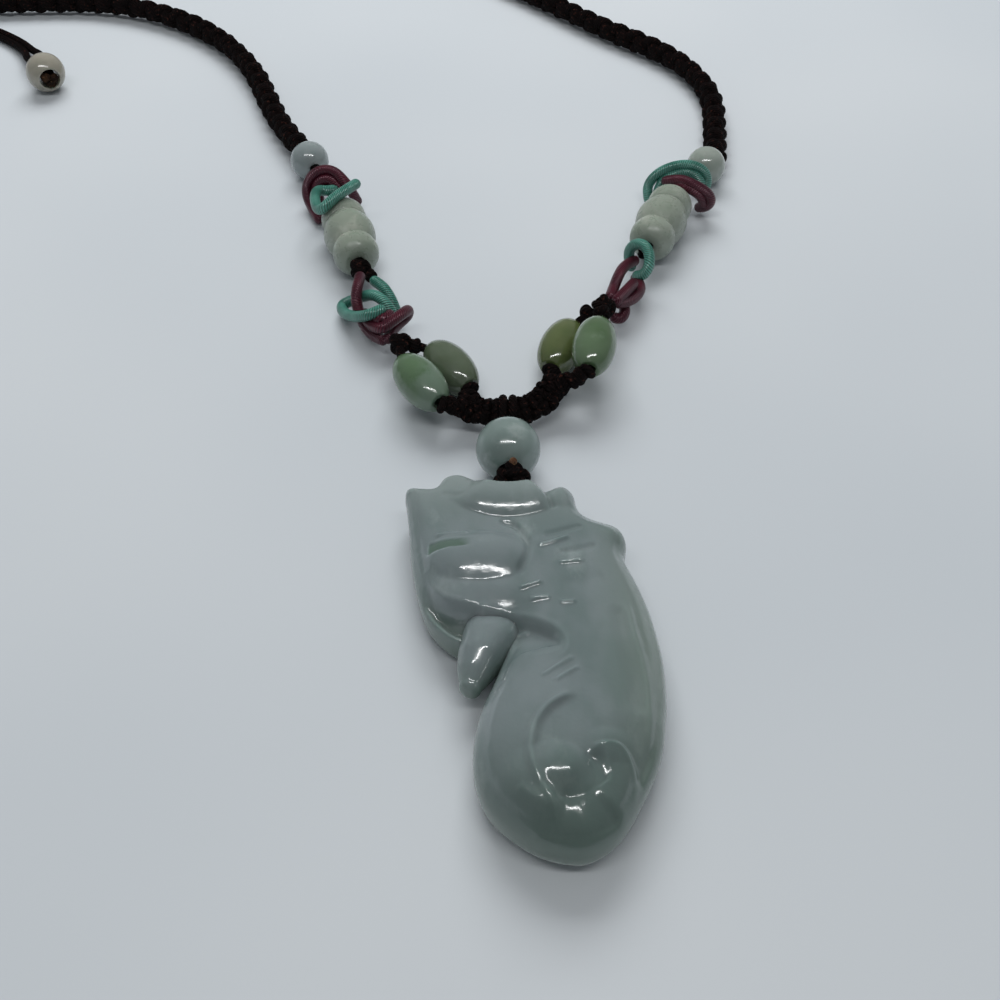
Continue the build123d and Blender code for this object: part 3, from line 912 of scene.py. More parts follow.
@dataclass
class Bead:
    """A drilled bead, turned round its axis from arcs."""

    name: str
    centre: Point
    axis: Point
    arcs: tuple[Arc, ...]
    hole: float
    finish: Jade
    sides: int = 72
    arc_steps: int = 28
    rim: float = 0.1

    def build(self) -> bpy.types.Object:
        """Turn the bead and put it on the string.

        Returns:
            The bead.
        """
        shell = bmesh.new()
        shell.loops.layers.uv.new("UVMap")
        start = self.arcs[0][0]
        first = shell.verts.new((start[0], start[1], 0))
        tip = first
        for arc in self.arcs:
            centre, angle = circle_through(*arc)
            turned = bmesh.ops.spin(
                shell,
                geom=[tip],
                cent=centre,
                axis=(0, 0, 1),
                angle=angle,
                steps=self.arc_steps,
                use_merge=False,
            )
            tip = [item for item in turned["geom_last"] if isinstance(item, bmesh.types.BMVert)][0]
        for place in ((self.arcs[-1][2][0], self.hole / 2), (start[0], self.hole / 2)):
            grown = bmesh.ops.extrude_vert_indiv(shell, verts=[tip])
            tip = grown["verts"][0]
            tip.co = (*place, 0)
        shell.edges.new((tip, first))
        bmesh.ops.spin(
            shell,
            geom=shell.verts[:] + shell.edges[:],
            cent=(0, 0, 0),
            axis=(1, 0, 0),
            angle=tau,
            steps=self.sides,
            use_merge=True,
        )
        bmesh.ops.recalc_face_normals(shell, faces=shell.faces)
        sharp = [edge for edge in shell.edges if edge.is_manifold and edge.calc_face_angle() > SHARP_ANGLE]
        bmesh.ops.bevel(
            shell,
            geom=sharp,
            offset=self.rim,
            segments=3,
            profile=0.5,
            affect="EDGES",
            material=-1,
            clamp_overlap=True,
        )
        heading = Vector(self.axis).normalized()
        turn = Vector((1, 0, 0)).rotation_difference(heading).to_matrix().to_4x4()
        bmesh.ops.transform(shell, matrix=Matrix.Translation(self.centre) @ turn, verts=shell.verts)
        piece = Piece(self.name)
        piece.take_in(shell, self.finish)
        return piece.done(self.name)


def ball_arcs(diameter: float, hole: float, rim: float = 0.15) -> tuple[Arc, ...]:
    """Outline of a drilled ball.

    Args:
        diameter: the ball's diameter
        hole: diameter of its hole
        rim: width of the flat rim round the hole

    Returns:
        Its single arc.
    """
    reach = hole / 2 + rim
    end = (diameter * diameter / 4 - reach * reach) ** 0.5
    return (((-end, reach), (0.0, diameter / 2), (end, reach)),)


@dataclass
class BeadString:
    """All beads of the necklace."""

    barrel_length: float = 9.3
    barrel_diameter: float = 5.8
    barrel_shoulder: float = 5.14
    barrel_end: float = 2.7
    shoulder_share: float = 0.52
    taper_share: float = 0.79
    taper_bulge: float = 0.11
    ribbed_length: float = 13.0
    ribbed_middle: float = 7.5
    ribbed_end: float = 6.6
    ribbed_middle_length: float = 5.6
    ribbed_face: float = 2.0
    lip_share: float = 0.84
    lip_rise: float = 0.14
    dip_share: float = 0.92
    dip_shift: float = 0.06
    dip_drop: float = 0.18
    groove: float = 0.35
    hole: float = 1.6

    def barrel(self, name: str, centre: Point, top: Flat, bottom: Flat, finish: Jade) -> Bead:
        """Describe one barrel bead.

        Args:
            name: the bead's name
            centre: its middle
            top: its upper end
            bottom: its lower end
            finish: its finish

        Returns:
            The bead.
        """
        axis = (bottom[0] - top[0], bottom[1] - top[1], 0.0)
        half = self.barrel_length / 2
        end, shoulder, middle = self.barrel_end / 2, self.barrel_shoulder / 2, self.barrel_diameter / 2
        shoulder_at, taper_at = self.shoulder_share * half, self.taper_share * half
        taper = (end + shoulder) / 2 + self.taper_bulge
        arcs = (
            ((-half, end), (-taper_at, taper), (-shoulder_at, shoulder)),
            ((-shoulder_at, shoulder), (0.0, middle), (shoulder_at, shoulder)),
            ((shoulder_at, shoulder), (taper_at, taper), (half, end)),
        )
        return Bead(name, centre, axis, arcs, self.hole, finish, rim=0.2)

    def ribbed(self, name: str, centre: Point, axis: Flat) -> Bead:
        """Describe one ribbed bead: two shorter end ribs and a wider middle.

        Args:
            name: the bead's name
            centre: its middle
            axis: the way that it points

        Returns:
            The bead.
        """
        half, middle = self.ribbed_length / 2, self.ribbed_middle_length / 2
        low = self.ribbed_end / 2 - self.groove
        rib = (half + middle) / 2
        lip, lip_radius = half * self.lip_share, low + self.lip_rise
        dip, dip_radius = half * self.dip_share - self.dip_shift, low - self.dip_drop
        arcs = (
            ((-half, self.ribbed_face), (-dip, dip_radius), (-lip, lip_radius)),
            ((-lip, lip_radius), (-rib, self.ribbed_end / 2), (-middle, low)),
            ((-middle, low), (0.0, self.ribbed_middle / 2), (middle, low)),
            ((middle, low), (rib, self.ribbed_end / 2), (lip, lip_radius)),
            ((lip, lip_radius), (dip, dip_radius), (half, self.ribbed_face)),
        )
        return Bead(name, centre, (*axis, 0.0), arcs, self.hole, RIBBED_JADE, arc_steps=18, rim=0.18)

    def build(self) -> list[bpy.types.Object]:
        """Make every bead.

        Returns:
            The beads.
        """
        beads = [
            Bead("main_bead", (-3.0, 31.5, 4.0), (0, 1, 0), ball_arcs(8.0, 2.5), 2.5, MAIN_JADE),
            self.barrel(
                "barrel_bead_left_lower", (-10.5, 47.5, 2.9), (-13.09, 51.36), (-7.91, 43.64), MOSS_JADE
            ),
            self.barrel(
                "barrel_bead_left_upper", (-14.22, 42.84, 4.64), (-16.81, 46.7), (-11.64, 38.97), LEAF_JADE
            ),
            self.barrel(
                "barrel_bead_right_lower", (4.2, 51.7, 2.9), (5.81, 56.06), (2.59, 47.34), OLIVE_JADE
            ),
            self.barrel(
                "barrel_bead_right_upper", (8.3, 48.06, 6.23), (9.19, 52.62), (7.41, 43.49), SAGE_JADE
            ),
            self.ribbed("ribbed_bead_left", (-26.0, 75.3, 3.75), (0.285, -0.958)),
            self.ribbed("ribbed_bead_right", (19.9, 78.8, 3.75), (-0.377, -0.926)),
            Bead(
                "side_bead_left",
                (-34.1, 96.2, 3.0),
                (-0.3996, 0.9154, -0.0508),
                ball_arcs(6.0, 1.6),
                1.6,
                COOL_JADE,
            ),
            Bead(
                "side_bead_right",
                (28.4, 94.7, 3.0),
                (0.537, 0.841, -0.072),
                ball_arcs(6.0, 1.6),
                1.6,
                SIDE_JADE,
            ),
            Bead("end_bead_left", (-82.3, 122.9, 3.25), (0.5, -0.866, 0), ball_arcs(6.5, 3.4), 3.4, END_JADE),
            Bead(
                "end_bead_right", (-100.0, 181.6, 3.25), (0.86, 0.51, 0), ball_arcs(6.5, 3.4), 3.4, END_JADE
            ),
        ]
        return [bead.build() for bead in beads]


# Braids, knots and cords


@dataclass
class Braid:
    """Round braid of four strands, which bulges where strands cross."""

    side: Side
    route: Route
    strand: float = 0.88
    wide: float = 1.14
    thick: float = 0.96
    reach: float = 0.86
    swing: float = 0.32
    repeat: float = 7.3
    spacing: float = 0.42
    wander: tuple[Flat, Flat] = ((0.37, 0.10), (0.91, 0.06))
    slackness: Flat = (0.23, 0.4)
    seed: int = 7

    def strand_line(self, middle: CordLine, number: int, hand: int) -> CordLine:
        """Line of one strand round the braid's middle.

        Args:
            middle: the braid's middle line
            number: 0 or 1, the strand among those of its hand
            hand: 1 or -1, the way it winds

        Returns:
            The strand's line.
        """
        run = np.linspace(0.0, middle.length, round(middle.length / self.spacing))
        (slow, slow_size), (quick, quick_size) = self.wander
        wander = np.sin(run * slow + self.seed) * slow_size + np.sin(run * quick + 2 * self.seed) * quick_size
        turn = hand * tau * run / self.repeat + pi * number + wander
        slack = self.slackness[1] * np.sin(run * self.slackness[0] + self.seed)
        weave = np.cos(2 * tau * run / self.repeat + slack)
        away = self.reach + hand * self.swing * weave
        places, _, side, up = middle.at(run)
        outward = side * np.cos(turn)[:, None] + up * np.sin(turn)[:, None]
        line = framed(places + outward * away[:, None])
        up_now = unit(outward - line.ahead * np.sum(outward * line.ahead, axis=1, keepdims=True))
        return CordLine(line.places, line.ahead, np.cross(up_now, line.ahead), up_now, line.run)

    def build(self) -> bpy.types.Object:
        """Plait the braid.

        Returns:
            The braid.
        """
        middle = cord_line(self.route)
        piece = Piece(f"braid_{self.side.value}")
        for hand in (1, -1):
            for number in (0, 1):
                line = self.strand_line(middle, number, hand)
                piece.add_cord(line, self.strand, sides=12, shape=(self.wide, self.thick), rounding=0.8)
        return piece.done(piece.name)


@dataclass
class TwinCords:
    """Two thin cords side by side, as they run to the sliding knot and on as tails."""

    name: str
    route: Route
    diameter: float = 1.3
    apart: float = 0.98
    parting: float = 0.75
    parting_place: float = 6.2
    parting_reach: float = 2.2
    end_bead: Point | None = None
    end_axis: Flat = (1.0, 0.0)
    end_lumps: tuple[Lump, ...] = (
        (2.6, 0.62, 0.4, 20.0),
        (2.45, -0.7, -0.05, 75.0),
        (2.5, -0.05, -0.8, 130.0),
    )
    lump_size: float = 0.46
    lump_cord: float = 0.40
    stub_reach: Flat = (2.6, 2.0)
    stub_radius: float = 1.25

    def end_knot(self, piece: Piece) -> None:
        """Knot the frayed ends in the wide hole of the end bead.

        Args:
            piece: the piece that the knot goes into
        """
        bead = Vector(self.end_bead)
        heading = Vector((*self.end_axis, 0)).normalized()
        beside = heading.cross(Vector((0, 0, 1)))
        for along, sideways, lift, turn in self.end_lumps:
            centre = bead + heading * along + beside * sideways + Vector((0, 0, lift))
            line = knot_line(tuple(centre), self.lump_size, turn, 40.0, 48)
            piece.add_cord(line, self.lump_cord, FRAYED_CORD, sides=10)
        stub = [tuple(bead + heading * along) for along in (-self.stub_reach[0], 0.0, self.stub_reach[1])]
        piece.add_cord(cord_line(stub), self.stub_radius)

    def build(self) -> bpy.types.Object:
        """Lay both cords, with the knot at their ends where there is an end bead.

        Returns:
            The pair of cords.
        """
        middle = cord_line(self.route)
        piece = Piece(self.name)
        apart = np.full_like(middle.run, self.apart)
        if self.end_bead:
            from_place = middle.length - middle.run - self.parting_place
            apart += self.parting * np.exp(-((from_place / self.parting_reach) ** 2))
        for hand in (-0.5, 0.5):
            beside = middle.places + middle.side * (hand * self.diameter * apart)[:, None]
            piece.add_cord(framed(beside), self.diameter / 2, sides=12)
        if self.end_bead:
            self.end_knot(piece)
        return piece.done(self.name)


@dataclass
class SlidingKnot:
    """Sliding knot: close turns of one cord over the cords that pass through it."""

    centre: Point = (-116.0, 155.4, 2.3)
    axis: Flat = (0.82, -0.572)
    length: float = 10.0
    diameter: float = 4.6
    cord: float = 1.3
    closeness: float = 1.02
    turn_points: int = 28
    core_reach: float = 0.48
    strand_reach: float = 0.6
    strand_lifts: Flat = (0.6, -1.5)
    strand_apart: float = 0.49

    def build(self) -> bpy.types.Object:
        """Wind the knot.

        Returns:
            The knot.
        """
        centre, upright = np.array(self.centre), np.array([0.0, 0.0, 1.0])
        heading = np.array([*self.axis, 0.0]) / hypot(*self.axis)
        beside = np.cross(upright, heading)

        def straight(start: np.ndarray, reach: float) -> CordLine:
            """Line of a straight strand, to a share of the knot's length on either side."""
            return cord_line([tuple(start + heading * share * self.length) for share in (-reach, 0.0, reach)])

        turns = int((self.length - self.cord) / (self.cord * self.closeness))
        angle = np.linspace(0.0, tau * turns, turns * self.turn_points)
        reach = (self.diameter - self.cord) / 2
        along = (angle / (tau * turns) - 0.5) * (self.length - self.cord)
        across = beside * (np.cos(angle) * reach)[:, None] + upright * (np.sin(angle) * reach)[:, None]
        piece = Piece("sliding_knot")
        piece.add_cord(framed(centre + heading * along[:, None] + across), self.cord / 2, sides=12)
        piece.add_cord(straight(centre, self.core_reach), reach)
        for lift in self.strand_lifts:
            for hand in (-self.strand_apart, self.strand_apart):
                start = centre + beside * hand * self.cord + upright * lift
                piece.add_cord(straight(start, self.strand_reach), self.cord / 2, sides=12)
        return piece.done("sliding_knot")


@dataclass
class FrontBand:
    """Flat band of close half hitches between the barrel beads."""

    route: Route
    branches: tuple[Route, ...]
    core: float = 1.25
    core_shape: Flat = (1.15, 0.62)
    cord: float = 0.62
    pitch: float = 1.16
    half_width: float = 1.42
    half_height: float = 0.78
    swell: Flat = (0.10, 2.1)
    lean: float = 0.31
    nubs: tuple[float, ...] = (-1.0, -0.36, 0.36, 1.0)
    nub_shift: float = 0.14
    nub_lift: float = 0.3
    nub_spread: float = 0.95
    nub_size: float = 0.36
    nub_cord: float = 0.33
    arm: float = 0.9
    arm_pitch: float = 1.15
    arm_half_size: Flat = (1.02, 0.92)
    arm_cord: float = 0.5
    arm_lean: float = 0.34
    arm_taper: float = 0.30

    def hitches(self, piece: Piece) -> None:
        """Knot the band itself, with its nubs on top.

        Args:
            piece: the piece that it goes into
        """
        middle = cord_line(self.route, 0.25)
        piece.add_cord(middle, self.core, sides=16, shape=self.core_shape)
        count = round(middle.length / self.pitch)
        for number in range(count + 1):
            hand = 1 if number % 2 else -1
            spot = middle.spot(middle.length * number / count)
            width = self.half_width * (1.0 + self.swell[0] * sin(number * self.swell[1]))
            lean = np.cos(TURN_ANGLES) * hand * self.lean * np.sign(np.sin(TURN_ANGLES) + 0.2)
            piece.add_cord(turn_line(spot, (width, self.half_height), lean), self.cord, sides=10)
            place, _, side, up = spot
            for across in self.nubs:
                away = across + hand * self.nub_shift
                lift = self.half_height * (1 - min(abs(away), 1.0) ** 2) ** 0.5 + self.nub_lift
                knot = tuple(place + side * away * self.half_width * self.nub_spread + up * lift)
                line = knot_line(knot, self.nub_size, 40.0 * number + 95.0 * across, 60.0, 36)
                piece.add_cord(line, self.nub_cord, sides=8)

    def branch(self, piece: Piece, route: Route) -> None:
        """Wind one of the arms that reach to the barrel beads.

        Args:
            piece: the piece that it goes into
            route: the arm's chosen points
        """
        middle = cord_line(route, 0.2)
        piece.add_cord(middle, self.arm, sides=12)
        turns = max(2, round(middle.length / self.arm_pitch))
        for number in range(turns + 1):
            taper = 1.0 - self.arm_taper * number / turns
            lean = np.cos(TURN_ANGLES) * (self.arm_lean if number % 2 else -self.arm_lean)
            half_size = (self.arm_half_size[0] * taper, self.arm_half_size[1] * taper)
            line = turn_line(middle.spot(middle.length * number / turns), half_size, lean)
            piece.add_cord(line, self.arm_cord, sides=10)

    def build(self) -> bpy.types.Object:
        """Knot the band and its arms.

        Returns:
            The band.
        """
        piece = Piece("front_band")
        self.hitches(piece)
        for route in self.branches:
            self.branch(piece, route)
        return piece.done("front_band")


@dataclass
class DropCord:
    """Cord that carries the pendant: its loop, the knot above it, and the turns round the band."""

    string_x: float = -3.0
    band_y: float = 39.1
    band_z: float = 2.7
    thread: float = 0.55
    loops: tuple[Route, ...] = (
        ((-3.0, 26.2, 3.9), (-3.0, 24.6, 3.3), (-3.0, 21.0, 2.0), (-3.0, 17.9, 0.95)),
        ((-3.0, 18.0, 0.9), (-3.0, 20.5, 0.62), (-3.0, 23.6, 0.62), (-3.0, 26.2, 1.0)),
        ((-3.4, 26.2, 4.0), (-3.55, 31.0, 4.05), (-3.5, 36.2, 4.0)),
        ((-2.6, 26.2, 4.0), (-2.45, 31.0, 4.05), (-2.5, 36.2, 4.0)),
    )
    lumps: tuple[tuple[Point, float, float, float], ...] = (
        ((-1.75, 26.2, 4.5), 0.92, 0.0, 35.0),
        ((-3.45, 26.25, 4.2), 0.98, 50.0, 80.0),
        ((-2.5, 26.5, 5.4), 0.78, 110.0, 20.0),
        ((-2.7, 26.1, 2.6), 0.80, 20.0, 0.0),
    )
    lump_cord: float = 0.56
    tip: Route = ((-2.6, 26.8, 5.8), (-2.45, 27.1, 6.4), (-2.25, 27.3, 6.8))
    tip_radius: float = 0.5
    turn_half_size: Flat = (2.0, 1.75)
    turn_cord: float = 0.58
    turn_apart: float = 0.62

    def build(self) -> bpy.types.Object:
        """Tie the drop cord.

        Returns:
            The cord with its knot.
        """
        piece = Piece("drop_cord")
        for loop in self.loops:
            piece.add_cord(cord_line(loop), self.thread, sides=10)
        for centre, size, turn, tilt in self.lumps:
            piece.add_cord(knot_line(centre, size, turn, tilt), self.lump_cord, sides=10)
        piece.add_cord(cord_line(self.tip, 0.15), self.tip_radius, MELTED_TIP, sides=12)
        angle = np.linspace(0.0, tau, 60)
        for along in (-self.turn_apart, self.turn_apart):
            ring = np.stack(
                [
                    np.full_like(angle, self.string_x + along),
                    self.band_y + self.turn_half_size[0] * np.cos(angle),
                    self.band_z + self.turn_half_size[1] * np.sin(angle),
                ],
                axis=1,
            )
            line = framed(ring, closed=True, start_up=(1, 0, 0))
            piece.add_cord(line, self.turn_cord, sides=10)
        return piece.done("drop_cord")


@dataclass
class JoiningKnot:
    """Knot that ties the threads of two barrel beads to the silk above them."""

    side: Side
    threads: tuple[Route, ...]
    lumps: tuple[Lump, ...]
    first_turn: float
    thread: float = 0.6
    turn_step: float = 55.0
    first_tilt: float = 35.0
    tilt_step: float = 40.0
    inner: Point = (0.72, 90.0, 80.0)

    def build(self) -> bpy.types.Object:
        """Tie the knot.

        Returns:
            The knot with its threads.
        """
        piece = Piece(f"joining_knot_{self.side.value}")
        for thread in self.threads:
            piece.add_cord(cord_line(thread), self.thread, sides=12)
        for number, lump in enumerate(self.lumps):
            turn, tilt = self.turn_step * number + self.first_turn, self.first_tilt + self.tilt_step * number
            tie_lump(piece, lump, turn, tilt, self.inner)
        return piece.done(piece.name)


@dataclass
class CoreThread:
    """Thread through a ribbed bead and its side bead, with the knot at the ribbed bead's hole."""

    side: Side
    route: Route
    lumps: tuple[Lump, ...]
    thread: float = 0.6
    turn_step: float = 70.0
    tilt: float = 30.0
    inner: Point = (0.7, 80.0, 75.0)

    def build(self) -> bpy.types.Object:
        """Draw the thread and its knot.

        Returns:
            The thread.
        """
        piece = Piece(f"core_thread_{self.side.value}")
        for start, end in zip(self.route, self.route[1:]):
            middle = tuple((a + b) / 2 for a, b in zip(start, end))
            piece.add_cord(cord_line((start, middle, end), 0.5), self.thread, sides=12)
        for number, lump in enumerate(self.lumps):
            tie_lump(piece, lump, self.turn_step * number, self.tilt, self.inner)
        return piece.done(piece.name)


@dataclass
class SilkCord:
    """Wrapped silk cord, in one or more lengths."""

    name: str
    routes: tuple[Route, ...]
    finish: WrappedSilk
    diameter: float = 1.55
    spacing: float = 0.2
    sides: int = 24

    def build(self) -> bpy.types.Object:
        """Lay the cord.

        Returns:
            The cord.
        """
        piece = Piece(self.name)
        for route in self.routes:
            piece.add_cord(cord_line(route, self.spacing), self.diameter / 2, self.finish, sides=self.sides)
        return piece.done(self.name)


@dataclass
class Cords:
    """All cords and knots of the necklace."""

    braid_routes: dict[Side, Route] = field(
        default_factory=lambda: {
            Side.LEFT: (
                (-35.48, 99.36, 2.82), (-39.4, 106.4, 2.2), (-42.7, 114.1, 2.2), (-45.8, 122.9, 2.2),
                (-50.3, 131.4, 2.2), (-55.8, 138.0, 2.2), (-62.6, 143.6, 2.2), (-71.0, 148.2, 2.2),
                (-80.8, 150.6, 2.2), (-92.0, 150.4, 2.2), (-103.5, 149.6, 2.2),
            ),
            Side.RIGHT: (
                (30.25, 97.6, 2.75), (31.4, 108.2, 2.2), (31.9, 114.4, 2.2), (31.0, 120.9, 2.2),
                (27.8, 128.1, 2.2), (22.6, 133.8, 2.2), (16.4, 139.0, 2.2), (10.2, 145.2, 2.2),
                (1.8, 153.9, 2.2), (-10.0, 165.4, 2.2), (-25.0, 178.4, 2.2), (-43.0, 190.0, 2.2),
                (-63.0, 198.4, 2.2), (-84.0, 201.4, 2.2), (-104.0, 198.0, 2.2), (-118.5, 188.2, 2.2),
                (-125.6, 176.0, 2.2),
            ),
        }
    )

    def silk(self) -> list[SilkCord]:
        """Describe the silk cords.

        Returns:
            The eight silk cords.
        """
        return [
            SilkCord(
                "burgundy_knot_lower_left",
                (
                    (
                        (-23.5, 64.8, 5.0), (-23.7, 62.3, 5.2), (-23.9, 60.4, 4.6), (-23.7, 59.5, 3.2),
                        (-23.1, 57.9, 2.4), (-22.1, 56.1, 2.0), (-20.9, 54.4, 2.2), (-19.4, 52.8, 3.0),
                    ),
                    (
                        (-22.9, 60.4, 1.8), (-22.4, 57.4, 2.8), (-21.2, 54.9, 3.7), (-19.9, 53.5, 4.5),
                        (-18.7, 54.5, 4.9), (-17.3, 55.9, 5.1), (-16.5, 57.8, 4.4), (-16.7, 58.1, 3.0),
                        (-18.0, 57.1, 2.4), (-19.0, 54.9, 2.6), (-19.2, 52.6, 3.2),
                    ),
                    ((-21.9, 58.5, 3.0), (-20.7, 55.5, 4.4), (-19.5, 55.0, 5.0), (-18.7, 57.0, 4.4)),
                ),
                BURGUNDY,
            ),
            SilkCord(
                "teal_knot_lower_left",
                (
                    (
                        (-22.1, 64.4, 4.4), (-20.5, 63.1, 4.4), (-19.5, 61.9, 3.6), (-18.8, 60.9, 2.6),
                        (-18.4, 60.4, 1.4),
                    ),
                    (
                        (-18.7, 58.5, 2.6), (-19.3, 59.0, 3.8), (-20.3, 59.8, 4.6), (-21.7, 60.8, 4.6),
                        (-23.4, 61.9, 3.2), (-25.1, 62.5, 2.0), (-26.4, 62.5, 1.3), (-25.9, 60.2, 1.8),
                        (-24.2, 57.6, 3.2), (-22.3, 55.6, 5.0), (-20.6, 55.8, 5.6), (-19.6, 56.8, 5.4),
                    ),
                ),
                TEAL,
            ),
            SilkCord(
                "burgundy_knot_lower_right",
                (
                    (
                        (15.7, 70.9, 2.8), (14.4, 68.6, 4.0), (13.2, 66.4, 4.6), (12.4, 64.2, 4.6),
                        (11.7, 62.0, 4.4), (11.0, 59.3, 4.8),
                    ),
                    (
                        (15.2, 67.9, 2.2), (15.9, 65.6, 2.6), (15.7, 63.3, 3.0), (14.5, 61.2, 3.4),
                        (13.1, 59.9, 3.8), (11.7, 59.1, 4.4),
                    ),
                    ((14.9, 64.0, 4.2), (13.9, 61.9, 4.8), (12.8, 60.1, 5.0), (11.6, 58.4, 5.0)),
                    (
                        (12.5, 62.2, 3.0), (13.4, 60.9, 2.6), (13.4, 59.8, 1.9), (12.6, 59.1, 1.4),
                        (11.3, 59.3, 2.0),
                    ),
                ),
                BURGUNDY,
            ),
            SilkCord(
                "teal_knot_lower_right",
                (
                    (
                        (15.3, 70.1, 1.4), (14.7, 70.7, 2.6), (14.5, 70.9, 4.4), (15.2, 70.4, 6.0),
                        (16.3, 69.5, 6.6), (17.0, 68.2, 6.4), (17.1, 66.7, 5.6), (16.8, 66.2, 4.4),
                        (15.9, 66.4, 3.2), (15.2, 67.6, 2.6),
                    ),
                ),
                TEAL,
            ),
            SilkCord(
                "burgundy_loop_upper_left",
                (
                    (
                        (-31.3, 82.8, 0.9), (-33.1, 86.4, 1.1), (-34.0, 88.5, 2.4), (-33.3, 89.2, 4.4),
                        (-31.6, 89.6, 5.6), (-29.5, 89.0, 6.0), (-27.7, 87.2, 5.4), (-26.6, 86.7, 3.6),
                        (-25.8, 87.3, 1.0),
                    ),
                    (
                        (-31.5, 87.3, 1.2), (-32.5, 88.2, 2.6), (-31.9, 88.5, 4.2), (-30.3, 88.3, 5.0),
                        (-28.7, 87.3, 4.6), (-27.5, 86.8, 2.8),
                    ),
                ),
                BURGUNDY,
            ),
            SilkCord(
                "teal_loop_upper_left",
                (
                    (
                        (-28.5, 87.5, 3.6), (-30.1, 85.5, 4.6), (-31.6, 84.9, 5.2), (-31.7, 82.2, 5.6),
                        (-30.8, 78.6, 5.8), (-29.5, 77.6, 7.2), (-28.3, 79.0, 7.8), (-26.5, 81.1, 7.9),
                        (-25.0, 83.5, 7.5),
                    ),
                ),
                TEAL,
            ),
            SilkCord(
                "teal_loop_upper_right",
                (
                    (
                        (19.2, 87.5, 0.9), (18.6, 89.3, 2.2), (19.5, 89.5, 4.4), (21.5, 89.5, 6.0),
                        (24.3, 89.4, 6.8), (26.7, 89.2, 6.2), (28.0, 89.2, 4.4), (27.7, 88.7, 2.6),
                    ),
                    (
                        (20.2, 87.7, 2.0), (20.4, 88.5, 3.8), (22.2, 88.8, 5.2), (24.5, 89.0, 5.8),
                        (26.3, 88.6, 5.2), (27.0, 88.0, 3.6),
                    ),
                ),
                TEAL,
            ),
            SilkCord(
                "burgundy_loop_upper_right",
                (
                    (
                        (20.7, 87.6, 4.8), (22.9, 86.5, 6.2), (24.9, 84.7, 6.4), (27.0, 84.3, 5.4),
                        (28.1, 84.3, 3.8), (27.5, 85.1, 1.8), (26.2, 86.7, 0.9),
                    ),
                    (
                        (21.4, 87.7, 4.0), (23.2, 85.6, 5.6), (25.0, 84.3, 5.6), (26.7, 84.3, 4.2),
                        (27.2, 85.1, 2.2),
                    ),
                ),
                BURGUNDY,
            ),
        ]

    def dark(self) -> list[Braid | TwinCords | SlidingKnot | FrontBand | DropCord | JoiningKnot | CoreThread]:
        """Describe the dark cords and knots.

        Returns:
            The braids, tails, band, drop cord and knots.
        """
        band = (
            (-8.9, 39.9, 3.5), (-7.9, 39.7, 2.7), (-5.4, 39.2, 2.7), (-3.0, 39.1, 2.7), (-0.5, 39.7, 2.7),
            (1.7, 41.3, 2.7), (3.2, 43.1, 4.0),
        )
        branches = (
            ((-8.0, 39.9, 3.3), (-9.8, 38.9, 4.2), (-11.3, 38.4, 4.9)),
            ((-7.6, 40.4, 3.1), (-7.9, 41.6, 3.2), (-7.9, 42.9, 3.4)),
            ((2.9, 43.0, 3.6), (2.9, 44.6, 3.4), (2.7, 46.4, 3.4)),
            ((3.0, 42.6, 4.0), (5.0, 42.3, 5.2), (7.2, 42.9, 6.5)),
        )
        return [
            Braid(Side.LEFT, self.braid_routes[Side.LEFT], seed=3),
            Braid(Side.RIGHT, self.braid_routes[Side.RIGHT], seed=11),
            TwinCords(
                "link_cords_left", ((-103.95, 149.55, 2.3), (-107.6, 150.2, 2.5), (-111.6, 152.3, 2.9))
            ),
            TwinCords("link_cords_right", ((-125.9, 175.5, 2.3), (-127.6, 165.4, 2.6), (-120.6, 158.6, 2.9))),
            TwinCords(
                "tail_cords_left",
                (
                    (-111.8, 152.1, 0.8), (-104.0, 145.6, 0.8), (-95.6, 141.0, 0.8), (-88.4, 134.4, 1.2),
                    (-83.6, 125.1, 3.2),
                ),
                end_bead=(-82.3, 122.9, 3.25),
                end_axis=(0.5, -0.866),
            ),
            TwinCords(
                "tail_cords_right",
                (
                    (-120.6, 158.6, 0.8), (-124.2, 163.6, 0.8), (-121.0, 169.2, 0.8), (-115.6, 173.4, 0.8),
                    (-109.0, 176.4, 1.4), (-102.2, 180.3, 3.2),
                ),
                end_bead=(-100.0, 181.6, 3.25),
                end_axis=(0.86, 0.51),
            ),
            SlidingKnot(),
            FrontBand(band, branches),
            DropCord(),
            JoiningKnot(
                Side.LEFT,
                (
                    ((-11.6, 49.1, 2.9), (-13.7, 52.2, 2.9), (-17.2, 51.4, 3.6)),
                    ((-15.3, 44.5, 4.64), (-17.4, 47.7, 4.6), (-17.2, 50.4, 4.4)),
                ),
                ((-17.3, 50.8, 4.3, 1.65), (-15.4, 51.4, 3.4, 1.15)),
                first_turn=20.0,
            ),
            JoiningKnot(
                Side.RIGHT,
                (
                    ((4.9, 53.6, 2.9), (6.3, 57.2, 3.2), (9.6, 57.0, 4.6)),
                    ((8.8, 50.6, 6.23), (9.5, 54.2, 6.1), (10.1, 56.8, 5.4)),
                ),
                ((10.1, 57.3, 5.3, 1.75), (7.9, 57.5, 4.1, 1.15), (9.7, 55.1, 5.9, 1.25)),
                first_turn=80.0,
            ),
            CoreThread(
                Side.LEFT,
                ((-23.62, 67.3, 3.75), (-28.2, 82.68, 3.75), (-33.3, 94.4, 3.1)),
                ((-23.9, 67.4, 3.9, 1.65), (-22.4, 66.5, 3.4, 1.05)),
            ),
            CoreThread(
                Side.RIGHT,
                ((16.98, 71.62, 3.75), (22.8, 85.93, 3.75), (27.5, 93.2, 3.1)),
                ((16.9, 71.5, 3.75, 1.15),),
            ),
        ]

    def build(self) -> list[bpy.types.Object]:
        """Make every cord and knot.

        Returns:
            The pieces.
        """
        return [part.build() for part in (*self.dark(), *self.silk())]


# The carved pendant


